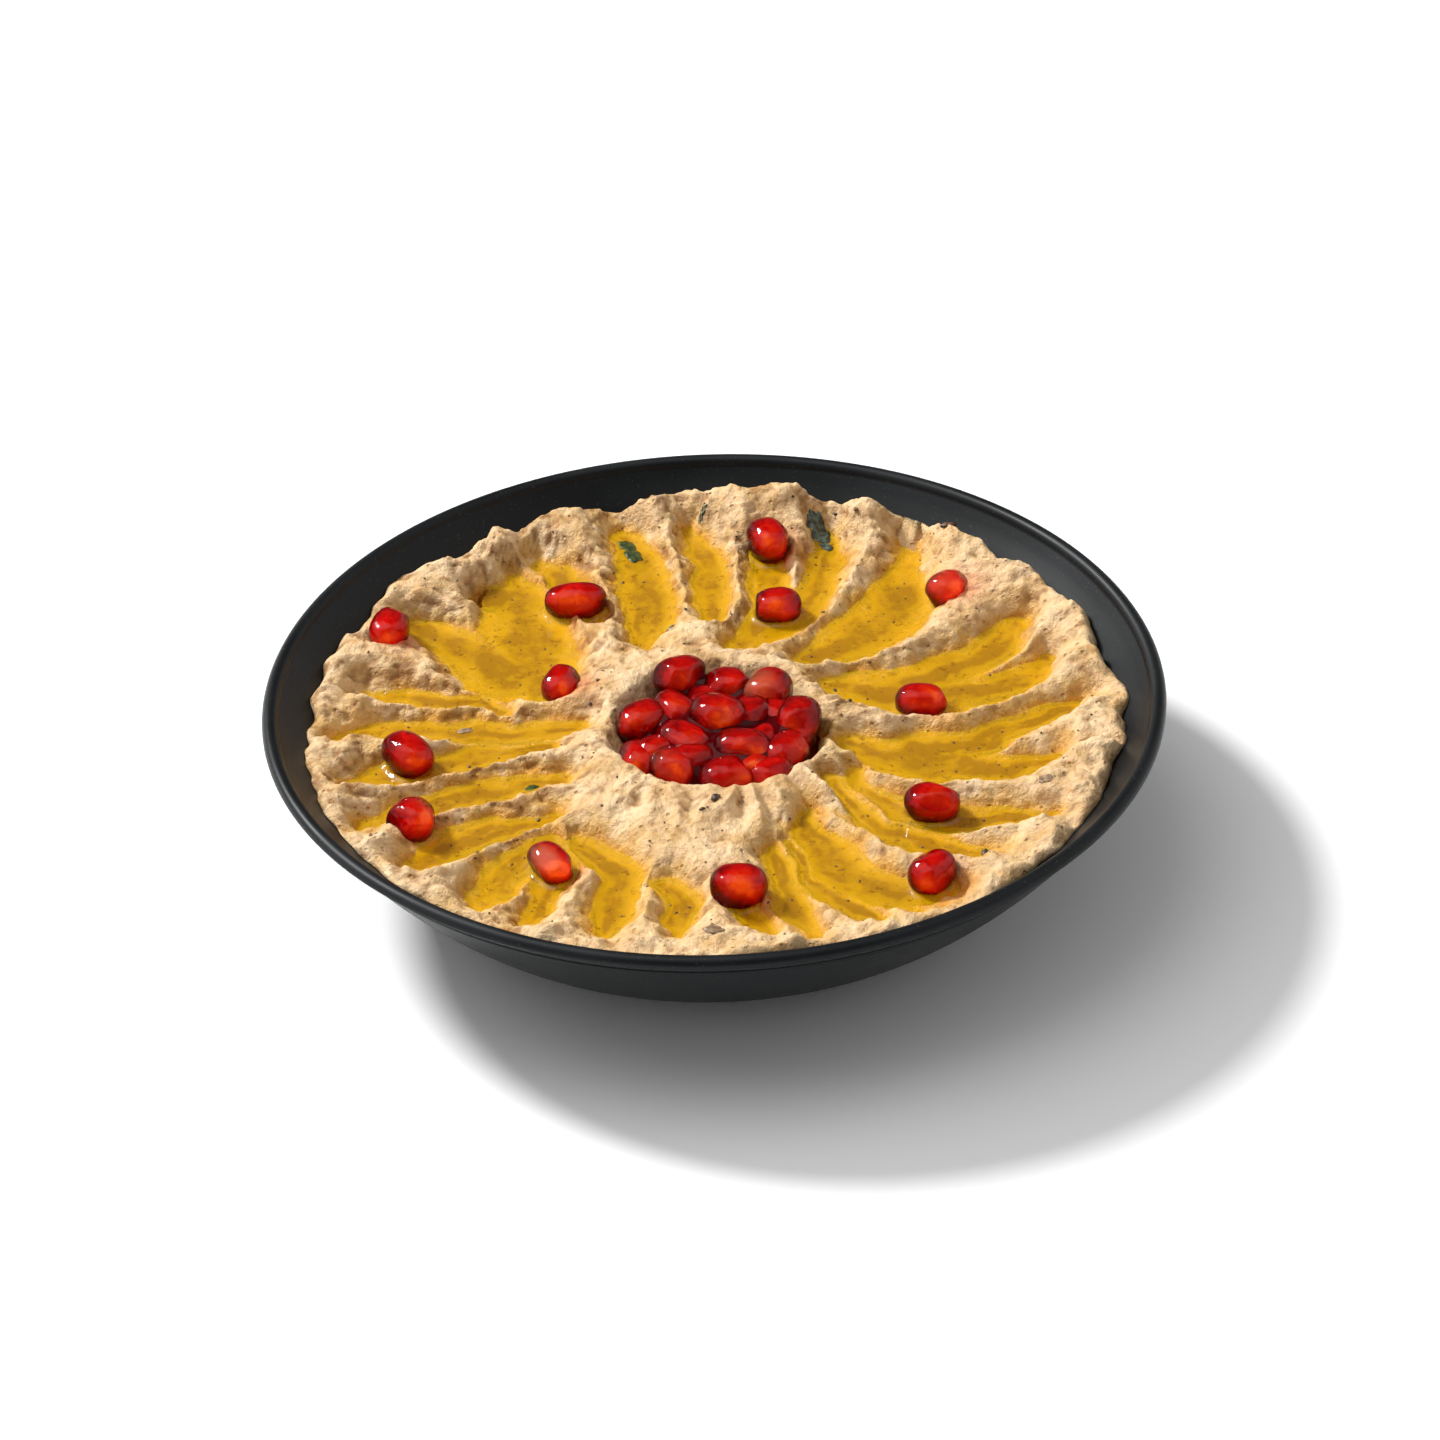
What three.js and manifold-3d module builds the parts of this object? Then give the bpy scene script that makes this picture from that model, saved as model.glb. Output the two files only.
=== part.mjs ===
// Baba ganoush in a shallow stoneware dish: a spoon-swept dip, pools of olive oil in the
// furrows, thirteen loose pomegranate arils and a heap of them in the well at the middle.
// Millimetres, +Z up. The origin is the middle of the dish's foot.

import * as THREE from "three";
import { mergeVertices } from "three/addons/utils/BufferGeometryUtils.js";
import Module from "manifold-3d";

// Dish
const rimRadius = 85;
const dishHeight = 34;
const footRadius = 45;
const floorThickness = 4;
const innerFootRadius = 44;
const innerRimRadius = 81.6;
const wallSwell = 0.56; // how fast the wall spreads out from the foot
const beadHeight = 4.4; // the rolled lip, down to the fine groove under it
const grooveDepth = 0.5;
const lipRounding = 1.5;
const dishSides = 40;

// Dip: heights are above the table
const ridgeHeight = 27.5;
const oilLevel = 24.6;
const furrowFloor = 23.0;
const ridgeSlope = 1.9; // mm over which a furrow's bank climbs most of its height
const crestRadius = 74.2; // the lumpy border's top
const dipRadius = 76.4;
const dipEdgeHeight = 27.5;
const dipSides = 80;
const fitGap = 0.3; // between neighbouring solids
const socketGrowth = 0.8; // a socket has fewer facets than its aril, so it starts larger

// Well at the middle, which holds the heap
const wellCentre = [0.8, -3.6];
const wellFloor = 21.7;
const wellFloorRadius = 16.5;
const wellLipRadius = 21.5;
const wellLipRise = 0.7;

// Rings of the dip's top, close together where the well and the border turn
const topRings = [10, 16.5, 21, 25, 30, 35.5, 41, 46.5, 52, 57.5, 62.5, 67, 71, 74.2];

// The border's crest: [degrees from +X, height]
const borderCrest = [
  [0, 29.2], [20, 29.8], [40, 30.6], [60, 31.3], [78, 31.8], [92, 31.0], [105, 29.6],
  [122, 30.4], [150, 29.4], [180, 28.4], [215, 28.2], [250, 28.0], [290, 28.0], [325, 28.4],
];

// One spoon furrow each: [x, y, half width of the oil in it], from one end to the other
const furrows = [
  [[-18, 69.9, 1.8], [-14.5, 60, 4.5], [-12.3, 47, 5.2], [-12, 40, 4.6], [-13, 30, 2.2]],
  [[-4, 70.5, 1.5], [0.3, 55, 3.2], [0.2, 45, 3.2], [0, 39, 2.2]],
  [[24, 67, 1.6], [23.3, 56, 3], [20.5, 46, 3.6], [14, 36, 5], [6, 28.5, 2.6]],
  [[11.5, 60, 2], [11.5, 50, 3.4], [12, 40, 4.2], [9, 32, 4]],
  [[19.5, 22, 2.2], [27, 28, 6.3], [34, 36, 7.2], [37.5, 47, 4.8], [39.3, 57, 3], [39.5, 64, 1.6]],
  [[22, 13.5, 2.2], [30, 11, 6.5], [40, 8.5, 7.3], [48, 9.5, 5.5], [57, 12, 4], [64, 19, 1.8]],
  [[38, 13, 5.5], [49, 19.5, 4.6], [55.5, 26, 3.6], [59, 34, 1.8]],
  [[25, -5.5, 2.2], [31, -10, 5.4], [39, -13, 6.8], [48, -15.5, 5.2], [57, -16, 3], [63.5, -13, 1.4]],
  [[38, -8.5, 4.5], [47, -8, 4.6], [56, -3.5, 3.3], [63, 1, 2.6], [69.5, 4.5, 1.2]],
  [[26, -16, 1.2], [30, -24, 1.9], [37, -30, 3.2], [45, -32.3, 3.7], [53, -31.8, 2.6], [61.5, -31.8, 0.8]],
  [[22.5, -18, 1], [26, -28.5, 1.9], [31, -34.7, 3], [37, -38, 3.8], [43.5, -41.8, 2.4], [50, -43, 0.8]],
  [[16, -29, 1.1], [18.3, -38, 3.8], [21.5, -45.5, 5], [27, -51.5, 5], [34, -55.5, 4.5], [41, -54.5, 3]],
  [[13.3, -38, 0.8], [16.7, -49.3, 1.9], [21, -54.8, 2.7], [24.6, -58.6, 2.2], [29, -62, 0.8]],
  [[10, -39.9, 1.1], [11.4, -47.1, 2.2], [12.2, -54.9, 3.2], [13.5, -60.6, 2.7], [17, -66, 1.3]],
  [[2.8, -54, 2], [5.4, -60.5, 2], [8.6, -65.9, 0.9]],
  [[-10.2, -48.5, 1.5], [-7.4, -54.3, 2.8], [-7.8, -60.4, 2.5], [-8.3, -65.2, 1.1]],
  [
    [-26, -35.4, 1.6], [-21, -41, 3.2], [-17.6, -46, 3.6],
    [-18.9, -52.5, 3.8], [-20.4, -59, 3.2], [-20.8, -65, 1.6],
  ],
  [[-29.5, -37, 2.5], [-30.2, -44, 4.2], [-31.7, -50, 2.6], [-32.8, -56.2, 2.2], [-34, -60.2, 1.1]],
  [[-31, -34.5, 1.5], [-35, -39.2, 3.6], [-39.5, -45.4, 3.9], [-42, -51, 3.6], [-43.8, -55.3, 1.3]],
  [[-29.5, -26.5, 0.8], [-36.7, -29.3, 2.4], [-43.9, -31.7, 4], [-50, -36, 4.8], [-55, -40.2, 2.2]],
  [[-29.5, -15.2, 1.6], [-36.7, -16.5, 3], [-44.4, -18.8, 3.7], [-52, -21.5, 3.4], [-64.5, -27, 2.2]],
  [
    [-31, -4, 1], [-37.8, -5.4, 2.5], [-45.6, -7.1, 3.3],
    [-52, -9.4, 2.9], [-62, -12.3, 3.4], [-68, -14.5, 1.5],
  ],
  [[-26.5, 1.4, 2], [-35.6, 1, 3], [-45.6, 1, 3.5], [-55, 2.7, 2.6], [-66, 2.3, 2.3], [-71.8, 0, 1.1]],
  [[-66, 14.9, 1.5], [-56, 13, 2.3], [-45.6, 11.2, 1.8], [-40, 8.2, 0.8]],
  [[-38.5, 54, 2], [-37.5, 45, 6], [-36, 34, 8], [-34, 24, 8], [-32.5, 14, 3.6]],
  [[-59, 39, 2], [-52, 33.5, 4.4], [-45, 27.5, 7], [-39, 20, 8]],
  [[-33, 59, 2.2], [-29, 54, 3.4], [-26, 46, 3], [-22.5, 38, 1.2]],
];

// Loose arils: [x, y, height of the middle, yaw in degrees, half length, half width, half depth, taper]
const looseArils = [
  [-62.0, 32.0, 28.8, 80, 5.7, 3.8, 3.7, -0.12],
  [-26.4, 41.8, 27.4, 2, 6.3, 3.6, 3.5, 0.05],
  [-29.4, 13.6, 26.8, 66, 4.4, 3.5, 3.3, 0.1],
  [-57.4, -9.4, 27.7, 128, 5.9, 4.0, 3.7, 0.06],
  [-55.9, -29.5, 27.5, 76, 5.0, 4.3, 3.7, -0.22],
  [-30.6, -44.1, 26.6, 122, 5.3, 3.5, 3.3, 0.05],
  [3.4, -54.2, 27.8, 4, 5.3, 4.3, 3.7, -0.06],
  [38.8, -51.1, 27.2, 52, 5.2, 3.8, 3.6, -0.1],
  [39.5, -29.9, 27.4, -3, 5.3, 4.0, 3.5, 0.04],
  [39.3, 4.3, 26.6, -4, 5.0, 3.5, 3.3, -0.05],
  [46.9, 41.8, 27.7, 58, 4.9, 3.6, 3.4, -0.25],
  [12.0, 60.4, 28.1, 112, 5.3, 4.0, 3.8, 0.06],
  [12.9, 38.5, 26.8, 4, 4.9, 3.8, 3.4, 0.06],
];

// The heap's arils: [x, y, height of the middle, yaw, tilt, half length, half width, half depth]
const heapArils = [
  [-6.1, 11.7, 29.0, 15, 0, 5.4, 4.2, 3.8],
  [2.8, 9.2, 28.0, -20, 0, 5.0, 4.0, 3.6],
  [10.3, 6.0, 28.5, 60, -10, 5.4, 4.4, 4.2],
  [15.9, -3.0, 28.2, 75, 0, 5.4, 4.2, 4.0],
  [0.7, -2.7, 29.4, 20, 12, 5.6, 4.8, 4.3],
  [-13.5, -0.8, 27.5, 35, 0, 5.6, 4.2, 3.9],
  [-7.4, 1.4, 28.0, 110, 0, 5.2, 4.0, 3.8],
  [-5.8, -8.3, 27.8, -40, 0, 5.6, 3.9, 3.6],
  [-14.6, -12.0, 26.1, 100, 0, 4.8, 3.9, 3.7],
  [-8.4, -15.0, 26.4, -60, 0, 5.2, 4.0, 3.8],
  [5.0, -11.3, 28.0, -8, 0, 5.6, 3.8, 3.6],
  [2.0, -17.4, 25.8, 10, 0, 5.6, 4.2, 3.7],
  [13.2, -11.4, 26.6, 55, 0, 5.4, 3.9, 3.8],
  [10.4, -17.0, 25.5, 35, 0, 5.2, 3.8, 3.5],
  [6.5, -1.0, 27.6, 60, 0, 5.4, 4.0, 3.8],
];
const heapBase = { radius: 15.2, height: 5.2, sides: 18, rings: 6 };

const arilFacets = { loose: [8, 6], heap: [6, 5], socket: [6, 5] }; // [sides, rings]
const arilBoxiness = 0.86; // under 1 turns an ellipsoid into a plumper, squarer kernel
const smallestPool = 6; // mm3: wetter patches than this are only a shine on the dip

const finish = (name, color, roughness) => new THREE.MeshStandardMaterial({ name, color, roughness });
const glaze = finish("matte black glaze", 0x2a2d2f, 0.42);
const dipFinish = finish("smoked aubergine dip", 0xe4c79d, 0.6);
const oilFinish = finish("olive oil", 0xc4920c, 0.08);
const arilFinish = finish("pomegranate aril", 0xa30d12, 0.12);

const smooth = (from, to, value) => {
  const t = Math.min(Math.max((value - from) / (to - from), 0), 1);
  return t * t * (3 - 2 * t);
};

// Shape of the dish: both faces of the wall spread from the foot by the same power law
const outerRadius = (z) => footRadius + (rimRadius - footRadius) * Math.pow(z / dishHeight, wallSwell);
const innerRadius = (z) => {
  const share = Math.max(z - floorThickness, 0) / (dishHeight - floorThickness);
  return innerFootRadius + (innerRimRadius - innerFootRadius) * Math.pow(share, wallSwell);
};
const wallHeights = [1.2, 4, 9, 15.5, 22.5, dishHeight - beadHeight];
const innerHeights = [31.5, dipEdgeHeight, 21, 14, 8.5, 5.2];

function dishGeometry() {
  const profile = [new THREE.Vector2(0, 0), new THREE.Vector2(footRadius, 0)];
  for (const z of wallHeights) profile.push(new THREE.Vector2(outerRadius(z), z));
  const grooveHeight = dishHeight - beadHeight + 0.35;
  profile.push(new THREE.Vector2(outerRadius(grooveHeight) - grooveDepth, grooveHeight));
  profile.push(new THREE.Vector2(outerRadius(grooveHeight) + 0.5, grooveHeight + 0.6));
  const lipMiddle = rimRadius - lipRounding;
  for (let step = 0; step <= 4; step += 1) {
    const angle = (step * Math.PI) / 4;
    const x = lipMiddle + lipRounding * Math.cos(angle);
    profile.push(new THREE.Vector2(x, dishHeight - lipRounding + lipRounding * Math.sin(angle)));
  }
  for (const z of innerHeights) profile.push(new THREE.Vector2(innerRadius(z), z));
  profile.push(new THREE.Vector2(innerFootRadius, floorThickness), new THREE.Vector2(0, floorThickness));
  return new THREE.LatheGeometry(profile, dishSides).rotateX(Math.PI / 2);
}

// Each furrow as closely spaced [x, y, half width] points on one smooth line
const furrowLines = furrows.map((furrow) => {
  const curve = new THREE.CatmullRomCurve3(furrow.map((point) => new THREE.Vector3(...point)));
  return curve.getPoints(furrow.length * 10);
});

// Distance outside the nearest furrow's oil, in mm; inside, minus 1 at the middle to 0 at the edge
function bankDistance(x, y) {
  let nearest = 20;
  for (const line of furrowLines) {
    for (const point of line) {
      const distance = Math.hypot(x - point.x, y - point.y);
      nearest = Math.min(nearest, distance > point.z ? distance - point.z : distance / point.z - 1);
    }
  }
  return nearest;
}

function crestHeight(x, y) {
  const degrees = (THREE.MathUtils.radToDeg(Math.atan2(y, x)) + 360) % 360;
  const next = borderCrest.findIndex(([angle]) => angle > degrees);
  const from = borderCrest[(next === -1 ? borderCrest.length : next) - 1];
  const to = next === -1 ? [borderCrest[0][0] + 360, borderCrest[0][1]] : borderCrest[next];
  return THREE.MathUtils.lerp(from[1], to[1], (degrees - from[0]) / (to[0] - from[0]));
}

function dipHeight(x, y) {
  const radius = Math.hypot(x, y);
  const fromWell = Math.hypot(x - wellCentre[0], y - wellCentre[1]);
  const border = smooth(64, 73.5, radius);
  const lip = wellLipRise * Math.exp(-(((fromWell - 23.5) / 3.2) ** 2));
  const top = THREE.MathUtils.lerp(ridgeHeight, crestHeight(x, y), border) + lip;
  const bank = bankDistance(x, y);
  let height = bank > 0
    ? THREE.MathUtils.lerp(oilLevel, top, 1 - Math.exp(-bank / ridgeSlope))
    : THREE.MathUtils.lerp(oilLevel, furrowFloor, 1 - (1 + bank) ** 2);
  const well = 1 - smooth(wellFloorRadius, wellLipRadius, fromWell);
  height = THREE.MathUtils.lerp(height, wellFloor, well);
  for (const [ax, ay, az, , , , depth] of looseArils) {
    const aside = Math.hypot(x - ax, y - ay);
    if (aside < 3.4) height = Math.max(height, az - 0.72 * depth - 0.05 * aside * aside);
  }
  const edge = Math.min(Math.max((radius - crestRadius) / (dipRadius - crestRadius), 0), 1);
  return THREE.MathUtils.lerp(height, dipEdgeHeight, edge ** 2.2);
}

// A closed body of rings round the Z axis: a fan over the top, the rings, and a fan below
function ringBody(rings, topPoint, bottomPoint, sides) {
  const positions = [...topPoint];
  for (const ring of rings) {
    for (let side = 0; side < sides; side += 1) {
      const angle = (side * 2 * Math.PI) / sides;
      const x = ring.radius * Math.cos(angle);
      const y = ring.radius * Math.sin(angle);
      positions.push(x, y, ring.height(x, y));
    }
  }
  positions.push(...bottomPoint);
  const last = 1 + rings.length * sides;
  const faces = [];
  for (let side = 0; side < sides; side += 1) {
    const next = (side + 1) % sides;
    faces.push(0, 1 + side, 1 + next);
    for (let ring = 0; ring < rings.length - 1; ring += 1) {
      const inner = 1 + ring * sides;
      const outer = inner + sides;
      faces.push(inner + side, outer + side, outer + next, inner + side, outer + next, inner + next);
    }
    faces.push(last, last - sides + next, last - sides + side);
  }
  const geometry = new THREE.BufferGeometry();
  geometry.setAttribute("position", new THREE.Float32BufferAttribute(positions, 3));
  geometry.setIndex(faces);
  return geometry;
}

function dipGeometry() {
  const rings = topRings.map((radius) => ({ radius, height: dipHeight }));
  rings.push({ radius: dipRadius, height: () => dipEdgeHeight });
  for (const z of innerHeights.filter((height) => height < dipEdgeHeight)) {
    rings.push({ radius: innerRadius(z) - fitGap - 0.15, height: () => z + fitGap });
  }
  const bottom = floorThickness + fitGap;
  return ringBody(rings, [0, 0, dipHeight(0, 0)], [0, 0, bottom], dipSides);
}

// A kernel: an ellipsoid with its long axis on X, made squarer and drawn in towards one end
function arilGeometry(facets, halfLength, halfWidth, halfDepth, taper, grow = 0) {
  const geometry = new THREE.SphereGeometry(1, ...facets).rotateZ(-Math.PI / 2);
  const place = geometry.attributes.position;
  const square = (value) => Math.sign(value) * Math.abs(value) ** arilBoxiness;
  for (let i = 0; i < place.count; i += 1) {
    const along = square(place.getX(i));
    const swell = 1 + taper * along;
    place.setXYZ(
      i,
      along * (halfLength + grow),
      square(place.getY(i)) * (halfWidth + grow) * swell,
      square(place.getZ(i)) * (halfDepth + grow) * swell,
    );
  }
  return geometry;
}

function placed(geometry, x, y, z, yaw, tilt = 0) {
  const mesh = new THREE.Mesh(geometry, arilFinish);
  mesh.position.set(x, y, z);
  mesh.rotation.set(0, THREE.MathUtils.degToRad(tilt), THREE.MathUtils.degToRad(yaw), "ZYX");
  mesh.updateMatrixWorld();
  return mesh;
}

// Between three.js meshes and solids that can be joined and cut
const wasm = await Module();
wasm.setup();

function solidOf(mesh) {
  const geometry = mesh.geometry.clone().applyMatrix4(mesh.matrixWorld);
  geometry.deleteAttribute("normal");
  geometry.deleteAttribute("uv");
  const merged = mergeVertices(geometry, 1e-4);
  const vertProperties = Float32Array.from(merged.attributes.position.array);
  const corners = Array.from(merged.index.array);
  const kept = [];
  for (let i = 0; i < corners.length; i += 3) {
    const [a, b, c] = corners.slice(i, i + 3);
    if (a !== b && b !== c && c !== a) kept.push(a, b, c);
  }
  const triVerts = Uint32Array.from(kept);
  return new wasm.Manifold(new wasm.Mesh({ numProp: 3, vertProperties, triVerts }));
}

function meshOf(solid, material) {
  const { vertProperties, triVerts } = solid.getMesh();
  const geometry = new THREE.BufferGeometry();
  geometry.setAttribute("position", new THREE.Float32BufferAttribute(Array.from(vertProperties), 3));
  geometry.setIndex(Array.from(triVerts));
  return new THREE.Mesh(geometry, material);
}

const largest = (solid) => solid.decompose().sort((a, b) => b.volume() - a.volume())[0];
const joined = (solids) => solids.reduce((whole, solid) => whole.add(solid));

function heapSolid(facets, grow) {
  const base = new THREE.SphereGeometry(1, heapBase.sides, heapBase.rings).rotateX(Math.PI / 2);
  base.scale(heapBase.radius + grow, heapBase.radius + grow, heapBase.height / 2 + grow);
  const middle = wellFloor + fitGap + heapBase.height / 2;
  const parts = [placed(base, wellCentre[0], wellCentre[1], middle, 0)];
  for (const [x, y, z, yaw, tilt, length, width, depth] of heapArils) {
    parts.push(placed(arilGeometry(facets, length, width, depth, 0, grow), x, y, z, yaw, tilt));
  }
  return joined(parts.map(solidOf));
}

const bowlOfDip = new THREE.Group();
const add = (name, mesh) => {
  mesh.name = name;
  bowlOfDip.add(mesh);
};

add("dish", new THREE.Mesh(dishGeometry(), glaze));

const numbered = (name, index) => `${name}_${String(index + 1).padStart(2, "0")}`;
const sockets = [heapSolid(arilFacets.socket, socketGrowth)];
looseArils.forEach(([x, y, z, yaw, ...shape], index) => {
  add(numbered("aril", index), placed(arilGeometry(arilFacets.loose, ...shape), x, y, z, yaw));
  sockets.push(solidOf(placed(arilGeometry(arilFacets.socket, ...shape, socketGrowth), x, y, z, yaw)));
});
add("aril_heap", meshOf(heapSolid(arilFacets.heap, 0), arilFinish));

const allSockets = joined(sockets);
const wholeDip = solidOf(new THREE.Mesh(dipGeometry(), dipFinish));
const dip = largest(wholeDip.subtract(allSockets));
add("dip", meshOf(dip, dipFinish));

// Oil: all that lies under its level and above the dip, outside the well, pool by pool
const bandFloor = furrowFloor - 0.5;
const bandProfile = [
  [wellLipRadius + 3, bandFloor], [innerRadius(bandFloor) - 2.5, bandFloor],
  [crestRadius - 1, oilLevel], [wellLipRadius + 3, oilLevel], [wellLipRadius + 3, bandFloor],
];
const band = new THREE.LatheGeometry(bandProfile.map((point) => new THREE.Vector2(...point)), dipSides);
const oilBand = solidOf(new THREE.Mesh(band.rotateX(Math.PI / 2), oilFinish));
const raisedDip = wholeDip.translate([0, 0, fitGap]);
const pools = oilBand.subtract(raisedDip).subtract(allSockets).decompose();
const middleAngle = (solid) => {
  const { min, max } = solid.boundingBox();
  return (Math.atan2(min[1] + max[1], min[0] + max[0]) + 2 * Math.PI) % (2 * Math.PI);
};
pools
  .filter((pool) => pool.volume() > smallestPool)
  .sort((a, b) => middleAngle(a) - middleAngle(b))
  .forEach((pool, index) => add(numbered("oil", index), meshOf(pool, oilFinish)));

export default bowlOfDip;
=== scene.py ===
import bmesh
import bpy
import math
import random
import numpy as np
from mathutils import Euler, Matrix, Vector, noise


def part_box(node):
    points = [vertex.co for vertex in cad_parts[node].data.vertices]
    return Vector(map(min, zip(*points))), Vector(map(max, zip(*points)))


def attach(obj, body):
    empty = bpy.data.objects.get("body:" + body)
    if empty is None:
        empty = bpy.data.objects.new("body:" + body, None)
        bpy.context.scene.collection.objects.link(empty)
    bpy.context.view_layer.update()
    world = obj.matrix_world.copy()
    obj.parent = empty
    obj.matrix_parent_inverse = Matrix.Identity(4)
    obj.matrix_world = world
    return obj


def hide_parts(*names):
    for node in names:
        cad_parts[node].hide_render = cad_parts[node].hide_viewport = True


# Baba ganoush in a black stoneware dish. Sizes in the tables are millimetres, meshes are metres.

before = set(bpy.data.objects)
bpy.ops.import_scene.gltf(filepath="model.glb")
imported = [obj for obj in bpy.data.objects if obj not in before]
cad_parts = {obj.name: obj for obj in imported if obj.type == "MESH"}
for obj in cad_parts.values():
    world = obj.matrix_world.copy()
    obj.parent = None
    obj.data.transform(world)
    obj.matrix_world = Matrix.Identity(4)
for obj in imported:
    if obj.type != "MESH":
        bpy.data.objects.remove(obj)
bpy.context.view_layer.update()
mm = 0.001
print("frame loaded:", len(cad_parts), "nodes")


def hexColour(text):  # sRGB hex to the linear colour that a shader takes
    parts = [int(text[i:i + 2], 16) / 255 for i in (0, 2, 4)]
    linear = [c / 12.92 if c <= 0.04045 else ((c + 0.055) / 1.055) ** 2.4 for c in parts]
    return (*linear, 1.0)


def perMetre(size):  # how often a pattern of this size in mm repeats in one metre
    return 1000.0 / size


def fillInputs(tree, node, inputs):  # links another node's output, and sets anything else as a value
    for socket, value in inputs.items():
        if isinstance(value, bpy.types.NodeSocket):
            tree.links.new(value, node.inputs[socket])
        else:
            node.inputs[socket].default_value = value


def addNode(tree, kind, inputs=None, stops=None, **settings):
    node = tree.nodes.new(kind)
    for name, value in settings.items():
        setattr(node, name, value)
    fillInputs(tree, node, inputs or {})
    if stops:
        ramp = node.color_ramp.elements
        while len(ramp) < len(stops):
            ramp.new(0.5)
        for element, (place, colour) in zip(ramp, stops):
            element.position = place
            element.color = hexColour(colour)
    return node


def newMaterial(name):
    material = bpy.data.materials.new(name)
    material.use_nodes = True
    tree = material.node_tree
    tree.nodes.clear()
    surface = tree.nodes.new("ShaderNodeBsdfPrincipled")
    output = tree.nodes.new("ShaderNodeOutputMaterial")
    tree.links.new(surface.outputs[0], output.inputs[0])
    return material, tree, surface


def newPiece(name, places, faces, material):  # places in mm
    mesh = bpy.data.meshes.new(name)
    mesh.from_pydata((np.asarray(places, float) * mm).tolist(), [], faces)
    mesh.validate()
    mesh.materials.append(material)
    mesh.polygons.foreach_set("use_smooth", [True] * len(mesh.polygons))
    piece = bpy.data.objects.new(name, mesh)
    bpy.context.scene.collection.objects.link(piece)
    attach(piece, "root")
    return piece


def setShare(piece, name, values):  # one number a vertex, which the piece's material reads
    layer = piece.data.attributes.new(name, "FLOAT", "POINT")
    layer.data.foreach_set("value", np.asarray(values, np.float32))


def smooth(low, high, value):  # 0 at low, 1 at high and an easy S between them
    share = np.clip((value - low) / (high - low), 0, 1)
    return share * share * (3 - 2 * share)


# The dish, from the middle of its foot round the lip to its inner floor

dish = {
    "rimRadius": 85.0,
    "height": 34.0,
    "footRadius": 45.0,
    "floorThickness": 4.0,
    "innerFootRadius": 44.0,
    "innerRimRadius": 81.6,
    "wallSwell": 0.56,  # under 1, the wall leans out low down and stands up near the rim
    "footChamfer": 0.6,
    "beadHeight": 4.4,
    "beadStep": 0.35,
    "grooveDrop": 0.4,
    "grooveWidth": 1.1,
    "grooveDepth": 0.5,
    "lipRounding": 1.5,
    "lipFlare": 1.4,
    "lipFlareFrom": 25.0,
    "lipFlareTo": 32.4,
    "sides": 256,
    "glaze": "0E1012",
    "glazeWorn": "16191B",
    "ironSpeck": "4A4A45",
    "cloudSize": 22.0,
    "claySpeck": 0.6,
    "claySpeckShare": 0.35,
    "roughness": 0.4,
    "ior": 1.5,
    "specular": 0.2,
}


def outerRadius(z):
    share = (z / dish["height"]) ** dish["wallSwell"]
    return dish["footRadius"] + (dish["rimRadius"] - dish["footRadius"]) * share


def innerRadius(z):
    share = np.maximum(z - dish["floorThickness"], 0) / (dish["height"] - dish["floorThickness"])
    reach = dish["innerRimRadius"] - dish["innerFootRadius"]
    wall = dish["innerFootRadius"] + reach * share ** dish["wallSwell"]
    return wall + dish["lipFlare"] * smooth(dish["lipFlareFrom"], dish["lipFlareTo"], z)


def dishProfile():
    groove = dish["height"] - dish["beadHeight"] - dish["grooveDrop"]
    profile = [(0.0, 0.0), (dish["footRadius"] - dish["footChamfer"], 0.0)]
    for z in np.linspace(0.0, 1.0, 36)[1:] ** 2.0 * groove:
        profile.append((outerRadius(z), z))
    for share in np.linspace(0, 1, 9):  # the fine groove under the lip
        z = groove + dish["grooveWidth"] * share
        step = dish["beadStep"] * share - dish["grooveDepth"] * math.sin(math.pi * share)
        profile.append((outerRadius(z) + step, z))
    middle = dish["rimRadius"] - dish["lipRounding"]
    shoulder = dish["height"] - dish["lipRounding"]
    for angle in np.linspace(0, math.pi, 17):
        x = middle + dish["lipRounding"] * math.cos(angle)
        profile.append((x, shoulder + dish["lipRounding"] * math.sin(angle)))
    top = shoulder - 0.3
    for share in np.linspace(1.0, 0.0, 40)[:-1]:
        z = dish["floorThickness"] + (top - dish["floorThickness"]) * share ** 1.6
        profile.append((innerRadius(z), z))
    profile += [(dish["innerFootRadius"] - 1.0, dish["floorThickness"]), (0.0, dish["floorThickness"])]
    return profile


def latheBody(profile, sides):  # turns the profile round, with one point at each end of the axis
    places = []
    faces = []
    inner = profile[1:-1]
    for radius, z in inner:
        for side in range(sides):
            angle = 2 * math.pi * side / sides
            places.append((radius * math.cos(angle), radius * math.sin(angle), z))
    first = len(places)
    places += [(0, 0, profile[0][1]), (0, 0, profile[-1][1])]
    for side in range(sides):
        after = (side + 1) % sides
        faces.append((first, after, side))
        for ring in range(len(inner) - 1):
            low = ring * sides
            high = low + sides
            faces.append((low + side, low + after, high + after, high + side))
        last = (len(inner) - 1) * sides
        faces.append((first + 1, last + side, last + after))
    return places, faces


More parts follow.
